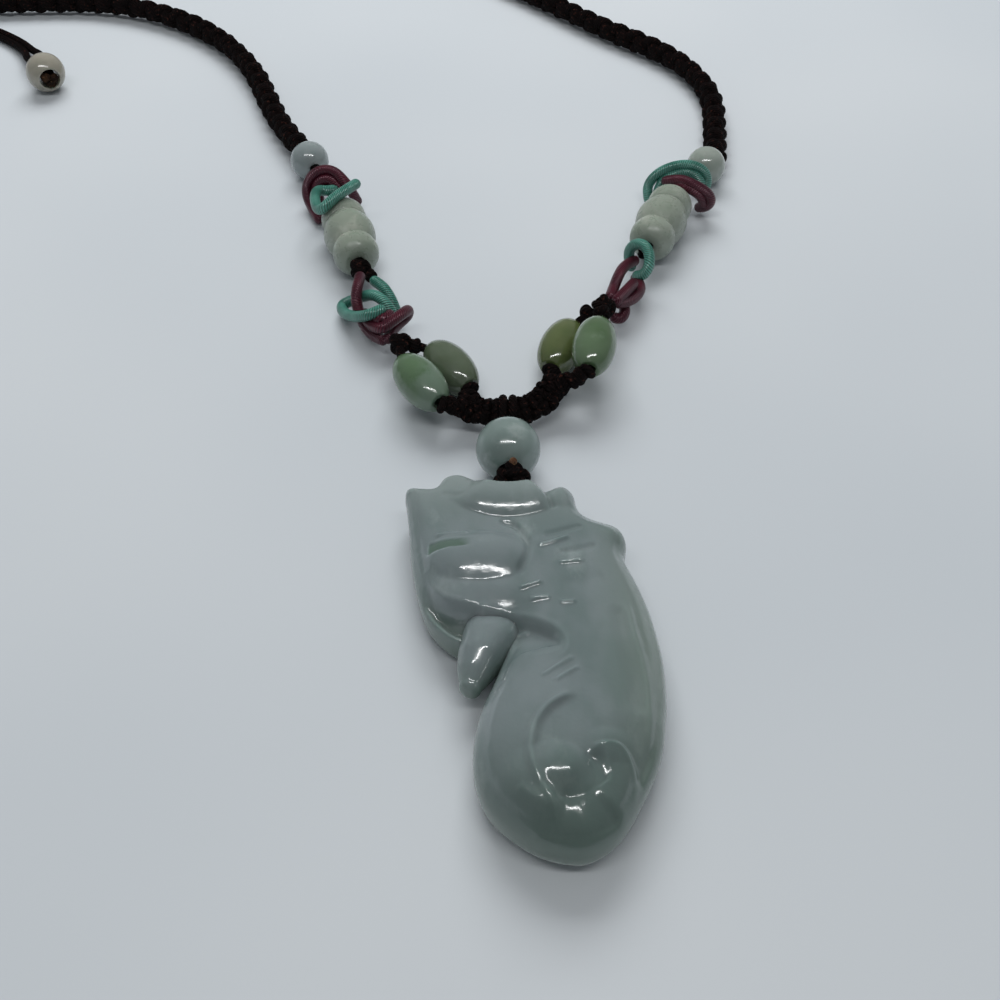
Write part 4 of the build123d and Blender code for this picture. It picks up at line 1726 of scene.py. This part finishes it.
def eased(value: np.ndarray) -> np.ndarray:
    """Ease from 0 to 1 as the value goes from 0 to 1."""
    held = np.clip(value, 0.0, 1.0)
    return held * held * (3 - 2 * held)


def softened(points: Sequence[Flat], rounds: int = 3, closed: bool = False) -> np.ndarray:
    """Cut the corners of a line until it is smooth.

    Args:
        points: the line's chosen points
        rounds: how often its corners are cut
        closed: whether the last point meets the first

    Returns:
        The smooth line's points.
    """
    line = np.array(points, float)
    for _ in range(rounds):
        after = np.roll(line, -1, axis=0) if closed else line[1:]
        before = line if closed else line[:-1]
        cut = np.stack([before * 0.75 + after * 0.25, before * 0.25 + after * 0.75], axis=1).reshape(-1, 2)
        line = cut if closed else np.vstack([line[:1], cut, line[-1:]])
    return line


def soften_mesh(
    shell: bmesh.types.BMesh, verts: Sequence[bmesh.types.BMVert], rounds: int, upright: bool = False
) -> None:
    """Smooth some vertices of a mesh.

    Args:
        shell: the mesh
        verts: the vertices
        rounds: how often they are smoothed
        upright: whether only their heights change
    """
    flat = not upright
    for _ in range(rounds):
        bmesh.ops.smooth_vert(
            shell, verts=verts, factor=0.5, use_axis_x=flat, use_axis_y=flat, use_axis_z=True
        )


@dataclass(frozen=True)
class Nearness:
    """How places lie to a line: distance, share of its length there, side, and nearest point."""

    distance: np.ndarray
    share: np.ndarray
    side: np.ndarray
    foot: np.ndarray


def near(line: np.ndarray, x: np.ndarray, y: np.ndarray, closed: bool = False) -> Nearness:
    """Measure places against a line.

    Args:
        line: the line's points
        x: the places' x
        y: the places' y
        closed: whether the line's ends meet

    Returns:
        The measures, with side 1 to the left of the line's heading.
    """
    ends = np.roll(line, -1, axis=0) if closed else line[1:]
    starts = line if closed else line[:-1]
    lengths = np.linalg.norm(ends - starts, axis=1)
    before = np.concatenate([[0.0], np.cumsum(lengths)])
    best = np.full(x.shape, np.inf)
    share, side = np.zeros(x.shape), np.ones(x.shape)
    foot = np.zeros((x.size, 2))
    for start, end, length, run in zip(starts, ends, lengths, before):
        dx, dy = (end - start) / max(length, 1e-9)
        ox, oy = x - start[0], y - start[1]
        along = np.clip(ox * dx + oy * dy, 0.0, length)
        fx, fy = start[0] + along * dx, start[1] + along * dy
        gap = (x - fx) ** 2 + (y - fy) ** 2
        closer = gap < best
        best = np.where(closer, gap, best)
        share = np.where(closer, (run + along) / before[-1], share)
        side = np.where(closer, np.sign(dx * oy - dy * ox), side)
        foot[closer] = np.stack([fx, fy], axis=1)[closer]
    return Nearness(np.sqrt(best), share, side, foot)


@dataclass(frozen=True)
class Stroke:
    """A ridge, or a groove where its rise is negative, that fades out at both ends."""

    line: tuple[Flat, ...]
    width: float
    rise: float
    fade: float = 0.12

    def rise_at(self, x: Shares, y: Shares) -> Shares:
        """Find the height that the stroke adds at each place.

        Args:
            x: the places' x
            y: the places' y

        Returns:
            The heights.
        """
        met = near(softened(self.line), x, y)
        ends = eased(met.share / self.fade) * eased((1 - met.share) / self.fade)
        return self.rise * np.exp(-((met.distance / self.width) ** 2)) * ends


@dataclass(frozen=True)
class Ledge:
    """A drop to the right of a line, over a round shoulder; it comes back up further away."""

    line: tuple[Flat, ...]
    drop: float
    width: float
    reach: float
    fade: float = 0.12
    shoulder: float = 0.0

    def rise_at(self, x: Shares, y: Shares) -> Shares:
        """Find the height that the ledge adds at each place.

        Args:
            x: the places' x
            y: the places' y

        Returns:
            The heights.
        """
        met = near(softened(self.line), x, y)
        beyond = np.where(met.side < 0, met.distance, -met.distance)
        ends = eased(met.share / self.fade) * eased((1 - met.share) / self.fade)
        fall = eased(beyond / self.width + 0.5)
        if self.shoulder:
            round_ = np.clip((beyond + self.shoulder) / (self.shoulder + self.width), 0.0, 1.0)
            fall = 1 - np.sqrt(1 - round_**2)
        back = np.exp(-((np.maximum(beyond - self.width, 0.0) / self.reach) ** 2))
        return -self.drop * fall * back * ends


@dataclass(frozen=True)
class Mound:
    """A rounded rise, or a hollow where its rise is negative."""

    centre: Flat
    half_size: Flat
    rise: float
    turn: float = 0.0
    fullness: float = 1.5

    def rise_at(self, x: Shares, y: Shares) -> Shares:
        """Find the height that the mound adds at each place.

        Args:
            x: the places' x
            y: the places' y

        Returns:
            The heights.
        """
        c, s = cos(radians(self.turn)), sin(radians(self.turn))
        ox, oy = x - self.centre[0], y - self.centre[1]
        u = (ox * c + oy * s) / self.half_size[0]
        v = (-ox * s + oy * c) / self.half_size[1]
        return self.rise * np.maximum(1 - u * u - v * v, 0.0) ** self.fullness


@dataclass(frozen=True)
class EyeSlit:
    """The long wedge cut of the eye: deepest along its lower edge, and it runs out to the right."""

    lower: tuple[Flat, Flat]
    upper: tuple[Flat, Flat]
    depth: float
    edge: float = 0.16
    start: float = 0.05
    fade: float = 0.38
    slope: float = 0.6
    full_shade_depth: float = 0.55

    def rise_at(self, x: Shares, y: Shares) -> Shares:
        """Find the height that the cut takes away at each place.

        Args:
            x: the places' x
            y: the places' y

        Returns:
            The heights.
        """
        along = (x - self.lower[0][0]) / (self.lower[1][0] - self.lower[0][0])
        held = np.clip(along, 0.0, 1.0)
        low = self.lower[0][1] + (self.lower[1][1] - self.lower[0][1]) * held
        high = self.upper[0][1] + (self.upper[1][1] - self.upper[0][1]) * held
        inside = eased((y - low) / self.edge) * eased((high - y) / self.edge + 0.5)
        inside = inside * eased(along / self.start) * (1 - eased((along - 1 + self.fade) / self.fade))
        across = np.clip((y - low) / (high - low), 0.0, 1.0)
        return -self.depth * (1 - self.slope * across) * inside

    def shade_share_at(self, x: np.ndarray, y: np.ndarray) -> np.ndarray:
        """How much painted shade each place gets in the cut, from 0 to 1."""
        return np.clip(-self.rise_at(x, y) / (self.full_shade_depth * self.depth), 0.0, 1.0)


@dataclass(frozen=True)
class CrownRoll:
    """The rolled rim of the crown: it swells up from its lower edge and falls again to the outline."""

    lower_edge: tuple[Flat, ...]
    gain: float
    reach: float
    fades: Flat = (0.34, 0.2)
    furthest: float = 1.9

    def rise_at(self, x: Shares, y: Shares) -> Shares:
        """Find the height that the roll adds at each place.

        Args:
            x: the places' x
            y: the places' y

        Returns:
            The heights.
        """
        met = near(softened(self.lower_edge), x, y)
        above = np.where(met.side > 0, met.distance, -met.distance)
        ends = eased(met.share / self.fades[0]) * eased((1 - met.share) / self.fades[1])
        swell = self.gain * (1 - (1 - np.clip(above / self.reach, 0.0, self.furthest)) ** 2)
        return swell * ends


@dataclass
class DragonPendant:
    """Carved dragon: a thick comma of jade with a turned-up crown, a curled tail and a free tusk."""

    cell: float = 0.17
    margin: float = 0.3
    edge_reach: float = 1.1
    rounded_from: float = 0.9
    rounded_times: int = 14
    carved_from: float = 1.3
    polished_from: float = 0.4
    top_profile: Profile = (
        (-22.8, -18, -12, -5, 0, 6, 12, 17, 25),
        (8.9, 9.1, 9.3, 9.1, 8.8, 8.3, 7.9, 7.3, 6.8),
    )
    top_reach: Profile = ((-22.8, -10, 2, 8, 18, 22, 25), (8.5, 8.5, 7.0, 5.5, 3.2, 1.6, 1.4))
    top_powers: Flat = (2.35, 2.1)
    waist: Profile = ((-22.8, -18, 14, 21, 25), (4.2, 3.6, 3.6, 4.6, 5.1))
    back_reach: Profile = ((-22.8, -19, -12, 18, 25), (4.4, 3.4, 1.8, 1.4, 1.7))
    back_power: float = 2.2
    string_x: float = -3.0
    groove_depth: float = 1.8
    groove_half_width: float = 1.25
    groove_start: float = 17.6
    outline: tuple[Flat, ...] = (
        (4.2, -22.7), (2.4, -22.6), (0.6, -22.2), (-1.2, -21.4), (-3.3, -19.8), (-4.8, -18.3),
        (-5.9, -16.5), (-6.5, -14.6), (-6.8, -12.5), (-6.7, -10.3), (-6.4, -8.1), (-5.9, -6.1),
        (-5.0, -4.0), (-4.1, -1.5), (-3.3, 0.7), (-3.2, 2.2), (-4.4, 2.6), (-7.2, 1.7), (-8.9, 1.9),
        (-10.7, 3.4), (-12.2, 5.4), (-13.2, 8.6), (-14.0, 12.5), (-14.4, 16.5), (-14.8, 20.4),
        (-15.2, 22.4), (-14.9, 23.3), (-13.4, 23.1), (-12.0, 23.0), (-11.4, 23.4), (-10.8, 24.7),
        (-9.6, 25.3), (-8.3, 25.2), (-7.2, 24.5), (-5.7, 23.9), (-3.6, 23.6), (-1.4, 23.6), (0.2, 23.8),
        (0.9, 23.3), (1.3, 22.5), (1.9, 22.9), (2.9, 23.4), (4.0, 23.1), (4.8, 22.0), (4.9, 20.7),
        (5.4, 19.5), (6.5, 18.7), (7.9, 18.2), (9.3, 17.7), (10.2, 16.8), (10.5, 15.5), (10.2, 14.2),
        (10.0, 13.0), (10.8, 11.0), (11.8, 8.1), (12.5, 5.4), (13.0, 2.3), (13.35, -0.6), (13.3, -4.9),
        (13.0, -7.4), (12.5, -10.8), (11.6, -13.4), (10.6, -15.3), (9.7, -17.1), (9.1, -18.2),
        (7.9, -20.1), (6.2, -21.7),
    )
    mouth_line: tuple[Flat, ...] = (
        (-14.5, 22.6), (-14.0, 18.4), (-13.6, 14.6), (-13.0, 11.5), (-12.3, 9.1), (-11.0, 7.1), (-9.4, 5.8),
        (-7.8, 5.3), (-5.5, 4.6), (-2.8, 3.9), (-0.7, 3.2), (1.1, 2.2), (2.4, 0.9), (3.1, -0.8), (2.7, -2.3),
        (1.4, -3.3),
    )
    tusk_centres: Route = (
        (-3.4, 7.0, 3.3), (-4.1, 4.8, 3.6), (-5.0, 2.6, 3.9), (-6.0, 0.2, 4.1), (-6.7, -1.7, 4.0),
        (-7.1, -3.2, 3.9), (-7.3, -4.2, 3.8),
    )
    tusk_halves: tuple[float, ...] = (3.5, 3.5, 3.15, 2.6, 1.95, 1.25, 0.0)
    tusk_depths: tuple[float, ...] = (2.1, 2.9, 3.3, 3.1, 2.3, 1.4, 0.0)
    tusk_faces: tuple[int, int] = (90, 64)
    tusk_size: Flat = (10.0, 15.0)
    tusk_crowding: float = 1.6
    tusk_tip: float = 0.17
    tusk_root: float = 0.02
    tusk_square: Flat = (0.62, 0.6)
    tusk_across: Flat = (0.97, -0.25)
    tusk_softening: int = 10

    def carving(self) -> list[Stroke | Ledge | Mound | EyeSlit | CrownRoll]:
        """List everything that is cut into the dragon or stands on it.

        Returns:
            The carved forms.
        """
        spiral = (
            (4.0, -7.2), (2.1, -7.9), (0.4, -9.2), (-0.7, -11.2), (-1.1, -14.0), (-0.6, -16.4), (0.9, -18.6),
            (2.2, -20.6),
        )
        curl = (
            (4.6, -13.6), (6.2, -12.9), (7.8, -12.9), (8.9, -14.2), (9.35, -16.2), (8.9, -18.6), (7.4, -20.4),
        )
        return [
            CrownRoll(
                (
                    (-11.4, 22.4), (-9.8, 20.4), (-8.0, 18.8), (-5.6, 17.8), (-3.2, 17.5), (-1.2, 17.7),
                    (0.9, 18.4), (2.5, 19.3), (3.7, 20.4),
                ),
                gain=1.5,
                reach=3.2,
            ),
            Mound((3.1, 21.2), (2.0, 2.0), 0.5),
            Stroke(((0.6, 24.0), (1.0, 22.2), (1.7, 20.4), (2.0, 19.0)), 0.32, -0.5, fade=0.05),
            Stroke(((-10.9, 21.6), (-8.4, 20.6), (-7.4, 22.2), (-7.0, 24.2)), 0.4, -0.12, fade=0.1),
            Stroke(((-3.8, 22.9), (-1.8, 22.6), (-0.2, 22.8)), 0.25, 0.18),
            Ledge(self.mouth_line[:9], 2.5, 1.2, 9.0, fade=0.05, shoulder=1.7),
            Ledge(self.mouth_line[7:15], 1.1, 0.9, 2.6, fade=0.3, shoulder=1.5),
            Stroke(self.mouth_line, 0.4, 0.2, fade=0.04),
            Stroke(tuple((x + 1.2, y + 0.9) for x, y in self.mouth_line[1:12]), 1.0, -0.15),
            Mound((-6.2, 11.6), (6.2, 3.9), 1.62, fullness=1.1),
            Stroke(((-4.4, 17.0), (-2.2, 16.3), (-0.9, 14.2), (-0.9, 11.2), (-2.2, 8.4)), 0.42, -0.5),
            EyeSlit(((-12.0, 12.0), (-6.9, 11.5)), ((-12.0, 13.6), (-6.9, 12.8)), 0.45),
            Stroke(((-11.4, 14.5), (-9.6, 14.8), (-7.4, 14.3)), 0.26, 0.32),
            Mound((-0.2, 0.0), (3.0, 2.2), -0.5, turn=-20.0),
            Stroke(((-4.4, 3.0), (-2.6, 2.3), (-0.8, 1.8)), 0.28, 0.25),
            Stroke(((0.1, 12.9), (1.8, 13.5), (3.8, 14.4)), 0.24, 0.42),
            Stroke(((0.8, 14.6), (3.0, 15.4), (5.4, 16.4)), 0.4, -0.25),
            Stroke(((2.4, 10.3), (3.8, 10.5), (5.2, 10.7)), 0.24, 0.45),
            Stroke(((2.4, 12.0), (4.6, 12.4), (6.8, 13.2)), 0.4, -0.25),
            Stroke(((-2.0, 6.6), (-0.7, 7.1), (0.6, 7.6)), 0.26, 0.42),
            Stroke(((-0.8, 5.2), (0.3, 5.4), (1.4, 5.3)), 0.24, 0.36),
            Stroke(((2.3, 4.6), (3.1, 4.7), (4.0, 4.7)), 0.26, 0.36),
            Stroke(((2.2, 7.0), (4.6, 7.6), (7.4, 8.4)), 0.9, -0.15),
            Stroke(((0.1, -5.2), (1.6, -4.0), (3.5, -2.7)), 0.22, 0.3),
            Stroke(((1.3, -6.0), (2.6, -4.9), (4.0, -4.0)), 0.22, 0.28),
            Stroke(spiral, 0.45, 0.5, fade=0.15),
            Ledge(spiral, -0.4, 0.9, 2.2),
            Mound((1.9, -15.4), (3.4, 2.6), 1.1, turn=-35.0, fullness=1.05),
            Mound((-1.5, -16.9), (3.5, 3.6), 0.55),
            Mound((0.4, -18.7), (2.0, 1.6), 0.35),
            Stroke(((-2.6, -17.2), (-0.6, -18.6), (0.9, -19.6), (2.0, -21.4)), 0.5, 0.25),
            Stroke(((5.0, -13.6), (4.9, -15.4), (3.6, -17.2), (1.6, -18.4)), 0.9, -0.3),
            Mound((6.8, -12.8), (2.8, 2.0), 0.5),
            Mound((6.4, -16.4), (3.3, 3.9), 0.35, turn=-15.0, fullness=1.2),
            Mound((10.5, -16.5), (8.0, 8.0), -1.0),
            Stroke(curl, 0.26, 0.4, fade=0.08),
            Ledge(curl, -0.7, 0.8, 2.4),
            Stroke(((9.4, 5.4), (10.0, 0.2), (10.9, -4.2), (11.0, -8.2), (10.7, -13.0)), 0.45, 0.3),
            Stroke(((8.2, 4.6), (8.7, 0.0), (9.5, -5.0), (9.6, -9.4)), 0.9, -0.3),
        ]

    def waist_height(self, y: Shares) -> Shares:
        """Height at which the dragon is widest."""
        return np.interp(y, *self.waist)

    def plain_height(self, y: Shares, inside: Shares) -> Shares:
        """Find the height of the uncarved dragon over the table.

        Args:
            y: the places' y
            inside: their distance from the outline

        Returns:
            The heights.
        """
        plateau, waist = np.interp(y, *self.top_profile), self.waist_height(y)
        share = np.clip(inside / np.interp(y, *self.top_reach), 0.0, 1.0)
        return waist + (plateau - waist) * (1 - (1 - share) ** self.top_powers[0]) ** (1 / self.top_powers[1])

    def back_height(self, x: Shares, y: Shares, inside: Shares) -> Shares:
        """Find the height of the flat back, with its rounded edge and the cord's groove.

        Args:
            x: the places' x
            y: the places' y
            inside: their distance from the outline

        Returns:
            The heights.
        """
        share = np.clip(inside / np.interp(y, *self.back_reach), 0.0, 1.0)
        plain = self.waist_height(y) * (1 - (1 - (1 - share) ** self.back_power) ** (1 / self.back_power))
        across = eased((self.groove_half_width - np.abs(x - self.string_x)) / 0.3)
        groove = self.groove_depth * across * eased((y - self.groove_start) / 0.5)
        return np.maximum(plain, groove * (inside > 0.02))

    def sheet(self) -> tuple[bmesh.types.BMesh, np.ndarray]:
        """Cut a fine grid to the outline.

        Returns:
            The flat sheet, and each vertex's distance from the outline.
        """
        edge = softened(self.outline, 3, closed=True)
        low, high = edge.min(axis=0) - self.margin, edge.max(axis=0) + self.margin
        across, along = (int(size / self.cell) for size in high - low)
        sheet = bmesh.new()
        sheet.loops.layers.uv.new("UVMap")
        middle = (low + high) / 2
        fit = Matrix.Translation((*middle, 0)) @ Matrix.Diagonal((*(high - low), 1, 1))
        bmesh.ops.create_grid(sheet, x_segments=across, y_segments=along, size=0.5, matrix=fit, calc_uvs=True)
        centres = np.array([face.calc_center_median()[:2] for face in sheet.faces])
        met = near(edge, centres[:, 0], centres[:, 1], closed=True)
        spare = [face for face, side in zip(sheet.faces, met.side) if side > 0]
        bmesh.ops.delete(sheet, geom=spare, context="FACES")
        loose = [vertex for vertex in sheet.verts if not vertex.link_faces]
        bmesh.ops.delete(sheet, geom=loose, context="VERTS")
        places = np.array([vertex.co[:2] for vertex in sheet.verts])
        rim = np.array([vertex.is_boundary for vertex in sheet.verts])
        met = near(edge, places[:, 0], places[:, 1], closed=True)
        close = met.distance < self.edge_reach
        slide = np.where(rim, 0.0, np.where(close, met.distance**2 / self.edge_reach, met.distance))
        outward = (places - met.foot) / np.maximum(met.distance, 1e-9)[:, None]
        moved = np.where(close[:, None], met.foot + outward * slide[:, None], places)
        for vertex, place in zip(sheet.verts, moved):
            vertex.co = (*place, 0.0)
        return sheet, slide

    def body(self, piece: Piece) -> None:
        """Carve the dragon's body.

        Args:
            piece: the piece that it goes into
        """
        sheet, inside = self.sheet()
        # Layer of painted shade for the eye's cut.
        layer = sheet.verts.layers.float.new(SLIT_SHADE_LAYER)
        fronts = sheet.verts[:]
        flat = np.array([vertex.co[:2] for vertex in fronts])
        x, y = flat[:, 0], flat[:, 1]
        twins = bmesh.ops.duplicate(sheet, geom=fronts + sheet.edges[:] + sheet.faces[:])["vert_map"]
        backs = [twins[vertex] for vertex in fronts]
        for vertex, height in zip(fronts, self.plain_height(y, inside)):
            vertex.co.z = height
        deep = [vertex for vertex, depth in zip(fronts, inside) if depth > self.rounded_from]
        soften_mesh(sheet, deep, self.rounded_times, upright=True)
        carving = self.carving()
        carved = sum(form.rise_at(x, y) for form in carving)
        # Painted shade in the eye's cut, stored on the vertices.
        slit_shades = sum(form.shade_share_at(x, y) for form in carving if isinstance(form, EyeSlit))
        hold = eased(inside / self.carved_from)
        for vertex, rise, share, cut in zip(fronts, carved, hold, slit_shades):
            vertex.co.z += rise * share
            vertex[layer] = cut
        finest = [vertex for vertex, depth in zip(fronts, inside) if depth > self.polished_from]
        soften_mesh(sheet, finest, 1, upright=True)
        for vertex, height in zip(backs, self.back_height(x, y, inside)):
            vertex.co.z = height
        edge = [vertex for vertex in sheet.verts if vertex.is_boundary]
        bmesh.ops.remove_doubles(sheet, verts=edge, dist=1e-3)
        bmesh.ops.recalc_face_normals(sheet, faces=sheet.faces)
        piece.take_in(sheet, PENDANT_JADE)

    def tusk(self, piece: Piece) -> None:
        """Shape the free tusk.

        Args:
            piece: the piece that it goes into
        """
        centres = np.array(self.tusk_centres)
        halves, depths = np.array(self.tusk_halves), np.array(self.tusk_depths)
        knots = np.linspace(0.0, 1.0, len(centres))

        def surface(along: Shares, round_: Shares) -> np.ndarray:
            """Find places on the tusk's skin.

            Args:
                along: shares of the way from root to tip
                round_: shares of the way round

            Returns:
                The places.
            """
            run = 1 - (1 - along) ** self.tusk_crowding
            place = np.stack([np.interp(run, knots, centres[:, k]) for k in range(3)], axis=1)
            tip = np.clip((1 - run) / self.tusk_tip, 0.0, 1.0)
            close = np.sqrt(1 - (1 - tip) ** 2) * np.clip(run / self.tusk_root, 0.0, 1.0) ** 0.5
            held = np.minimum(run, 1 - self.tusk_tip)
            half = np.interp(held, knots, halves) * close
            deep = np.interp(held, knots, depths) * close
            angle = round_ * tau
            square, square_reach = self.tusk_square
            squareness = square + (1 - square) * eased(run / square_reach)
            side = np.sign(np.cos(angle)) * np.abs(np.cos(angle)) ** squareness * half
            lift = np.sign(np.sin(angle)) * np.abs(np.sin(angle)) ** squareness * deep
            return place + np.stack([side * self.tusk_across[0], side * self.tusk_across[1], lift], axis=1)

        shell = Piece("tusk_form")
        shell.add_skin(surface, *self.tusk_faces, PENDANT_JADE, self.tusk_size)
        soften_mesh(shell.bm, shell.bm.verts, self.tusk_softening)
        piece.take_in(shell.bm, PENDANT_JADE)

    def build(self) -> bpy.types.Object:
        """Carve the pendant.

        Returns:
            The pendant.
        """
        piece = Piece("dragon_pendant")
        self.body(piece)
        self.tusk(piece)
        return piece.done("dragon_pendant")


# Table, light and camera


class LampUse(Enum):
    """What a lamp is for."""

    ROOM = "room"
    GLINT = "glint"


@dataclass
class Studio:
    """Pale table, soft room light with one long lamp, and the camera."""

    camera_place: Point = (-4.0, -76.0, 114.0)
    camera_down: float = 48.0
    lens: float = 45.0
    nearest: float = 0.005
    table_half: float = 1.6
    room_colour: tuple[float, float, float, float] = (0.86, 0.885, 0.915, 1.0)
    room_strength: float = 0.255

    def table(self) -> None:
        """Lay the table under the necklace."""
        sheet = bmesh.new()
        bmesh.ops.create_grid(sheet, x_segments=8, y_segments=8, size=self.table_half)
        mesh = bpy.data.meshes.new("table")
        sheet.to_mesh(mesh)
        sheet.free()
        mesh.materials.append(Wardrobe.take(TableTop()))
        table = bpy.data.objects.new("table", mesh)
        bpy.context.scene.collection.objects.link(table)

    def lamp(
        self, name: str, place: Point, aim: Point, size: Flat, watts: float, use: LampUse, colour: Point
    ) -> None:
        """Hang one flat lamp.

        Args:
            name: the lamp's name
            place: its place in millimetres
            aim: the point that it shines at
            size: its length and width in millimetres
            watts: its power
            use: whether it lights the table or is mirrored in polished stone
            colour: its colour
        """
        data = bpy.data.lights.new(name, "AREA")
        data.shape = "RECTANGLE"
        data.size, data.size_y = size[0] * MM, size[1] * MM
        data.energy = watts
        data.color = colour
        light = bpy.data.objects.new(name, data)
        light.location = [v * MM for v in place]
        light.rotation_euler = (Vector(aim) - Vector(place)).to_track_quat("-Z", "Y").to_euler()
        light.visible_glossy = use is LampUse.GLINT
        light.visible_diffuse = use is LampUse.ROOM
        bpy.context.scene.collection.objects.link(light)

    def room(self) -> None:
        """Fill the room with even light."""
        world = bpy.data.worlds.new("room")
        world.use_nodes = True
        background = world.node_tree.nodes["Background"]
        background.inputs["Color"].default_value = self.room_colour
        background.inputs["Strength"].default_value = self.room_strength
        bpy.context.scene.world = world

    def camera(self) -> None:
        """Set up the camera at the photograph's angle."""
        data = bpy.data.cameras.new("camera")
        data.lens = self.lens
        data.clip_start = self.nearest
        camera = bpy.data.objects.new("camera", data)
        camera.location = [v * MM for v in self.camera_place]
        camera.rotation_euler = (radians(90 - self.camera_down), 0.0, 0.0)
        bpy.context.scene.collection.objects.link(camera)
        bpy.context.scene.camera = camera

    def build(self) -> None:
        """Set up the table, the lights and the camera."""
        self.table()
        self.room()
        above, middle = (-4.0, -150.0, 570.0), (-4.0, 20.0, 0.0)
        self.lamp("long_lamp_glint", above, middle, (580.0, 30.0), 1.7, LampUse.GLINT, (1.0, 1.0, 1.0))
        self.lamp("long_lamp_room", above, middle, (560.0, 50.0), 1.0, LampUse.ROOM, (1.0, 0.985, 0.96))
        high, back = (-30.0, 410.0, 390.0), (-20.0, 160.0, 0.0)
        self.lamp("high_lamp", high, back, (420.0, 300.0), 2.15, LampUse.ROOM, (1.0, 0.995, 0.985))
        self.camera()


def main() -> None:
    """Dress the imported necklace."""
    logging.basicConfig(level=logging.INFO, format="%(name)s: %(message)s")
    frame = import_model()
    bpy.context.scene.view_settings.view_transform = "Standard"
    log.info("%d packed nodes", len(frame["nodes"]))
    DragonPendant().build()
    BeadString().build()
    Cords().build()
    Studio().build()


if __name__ == "__main__":
    main()
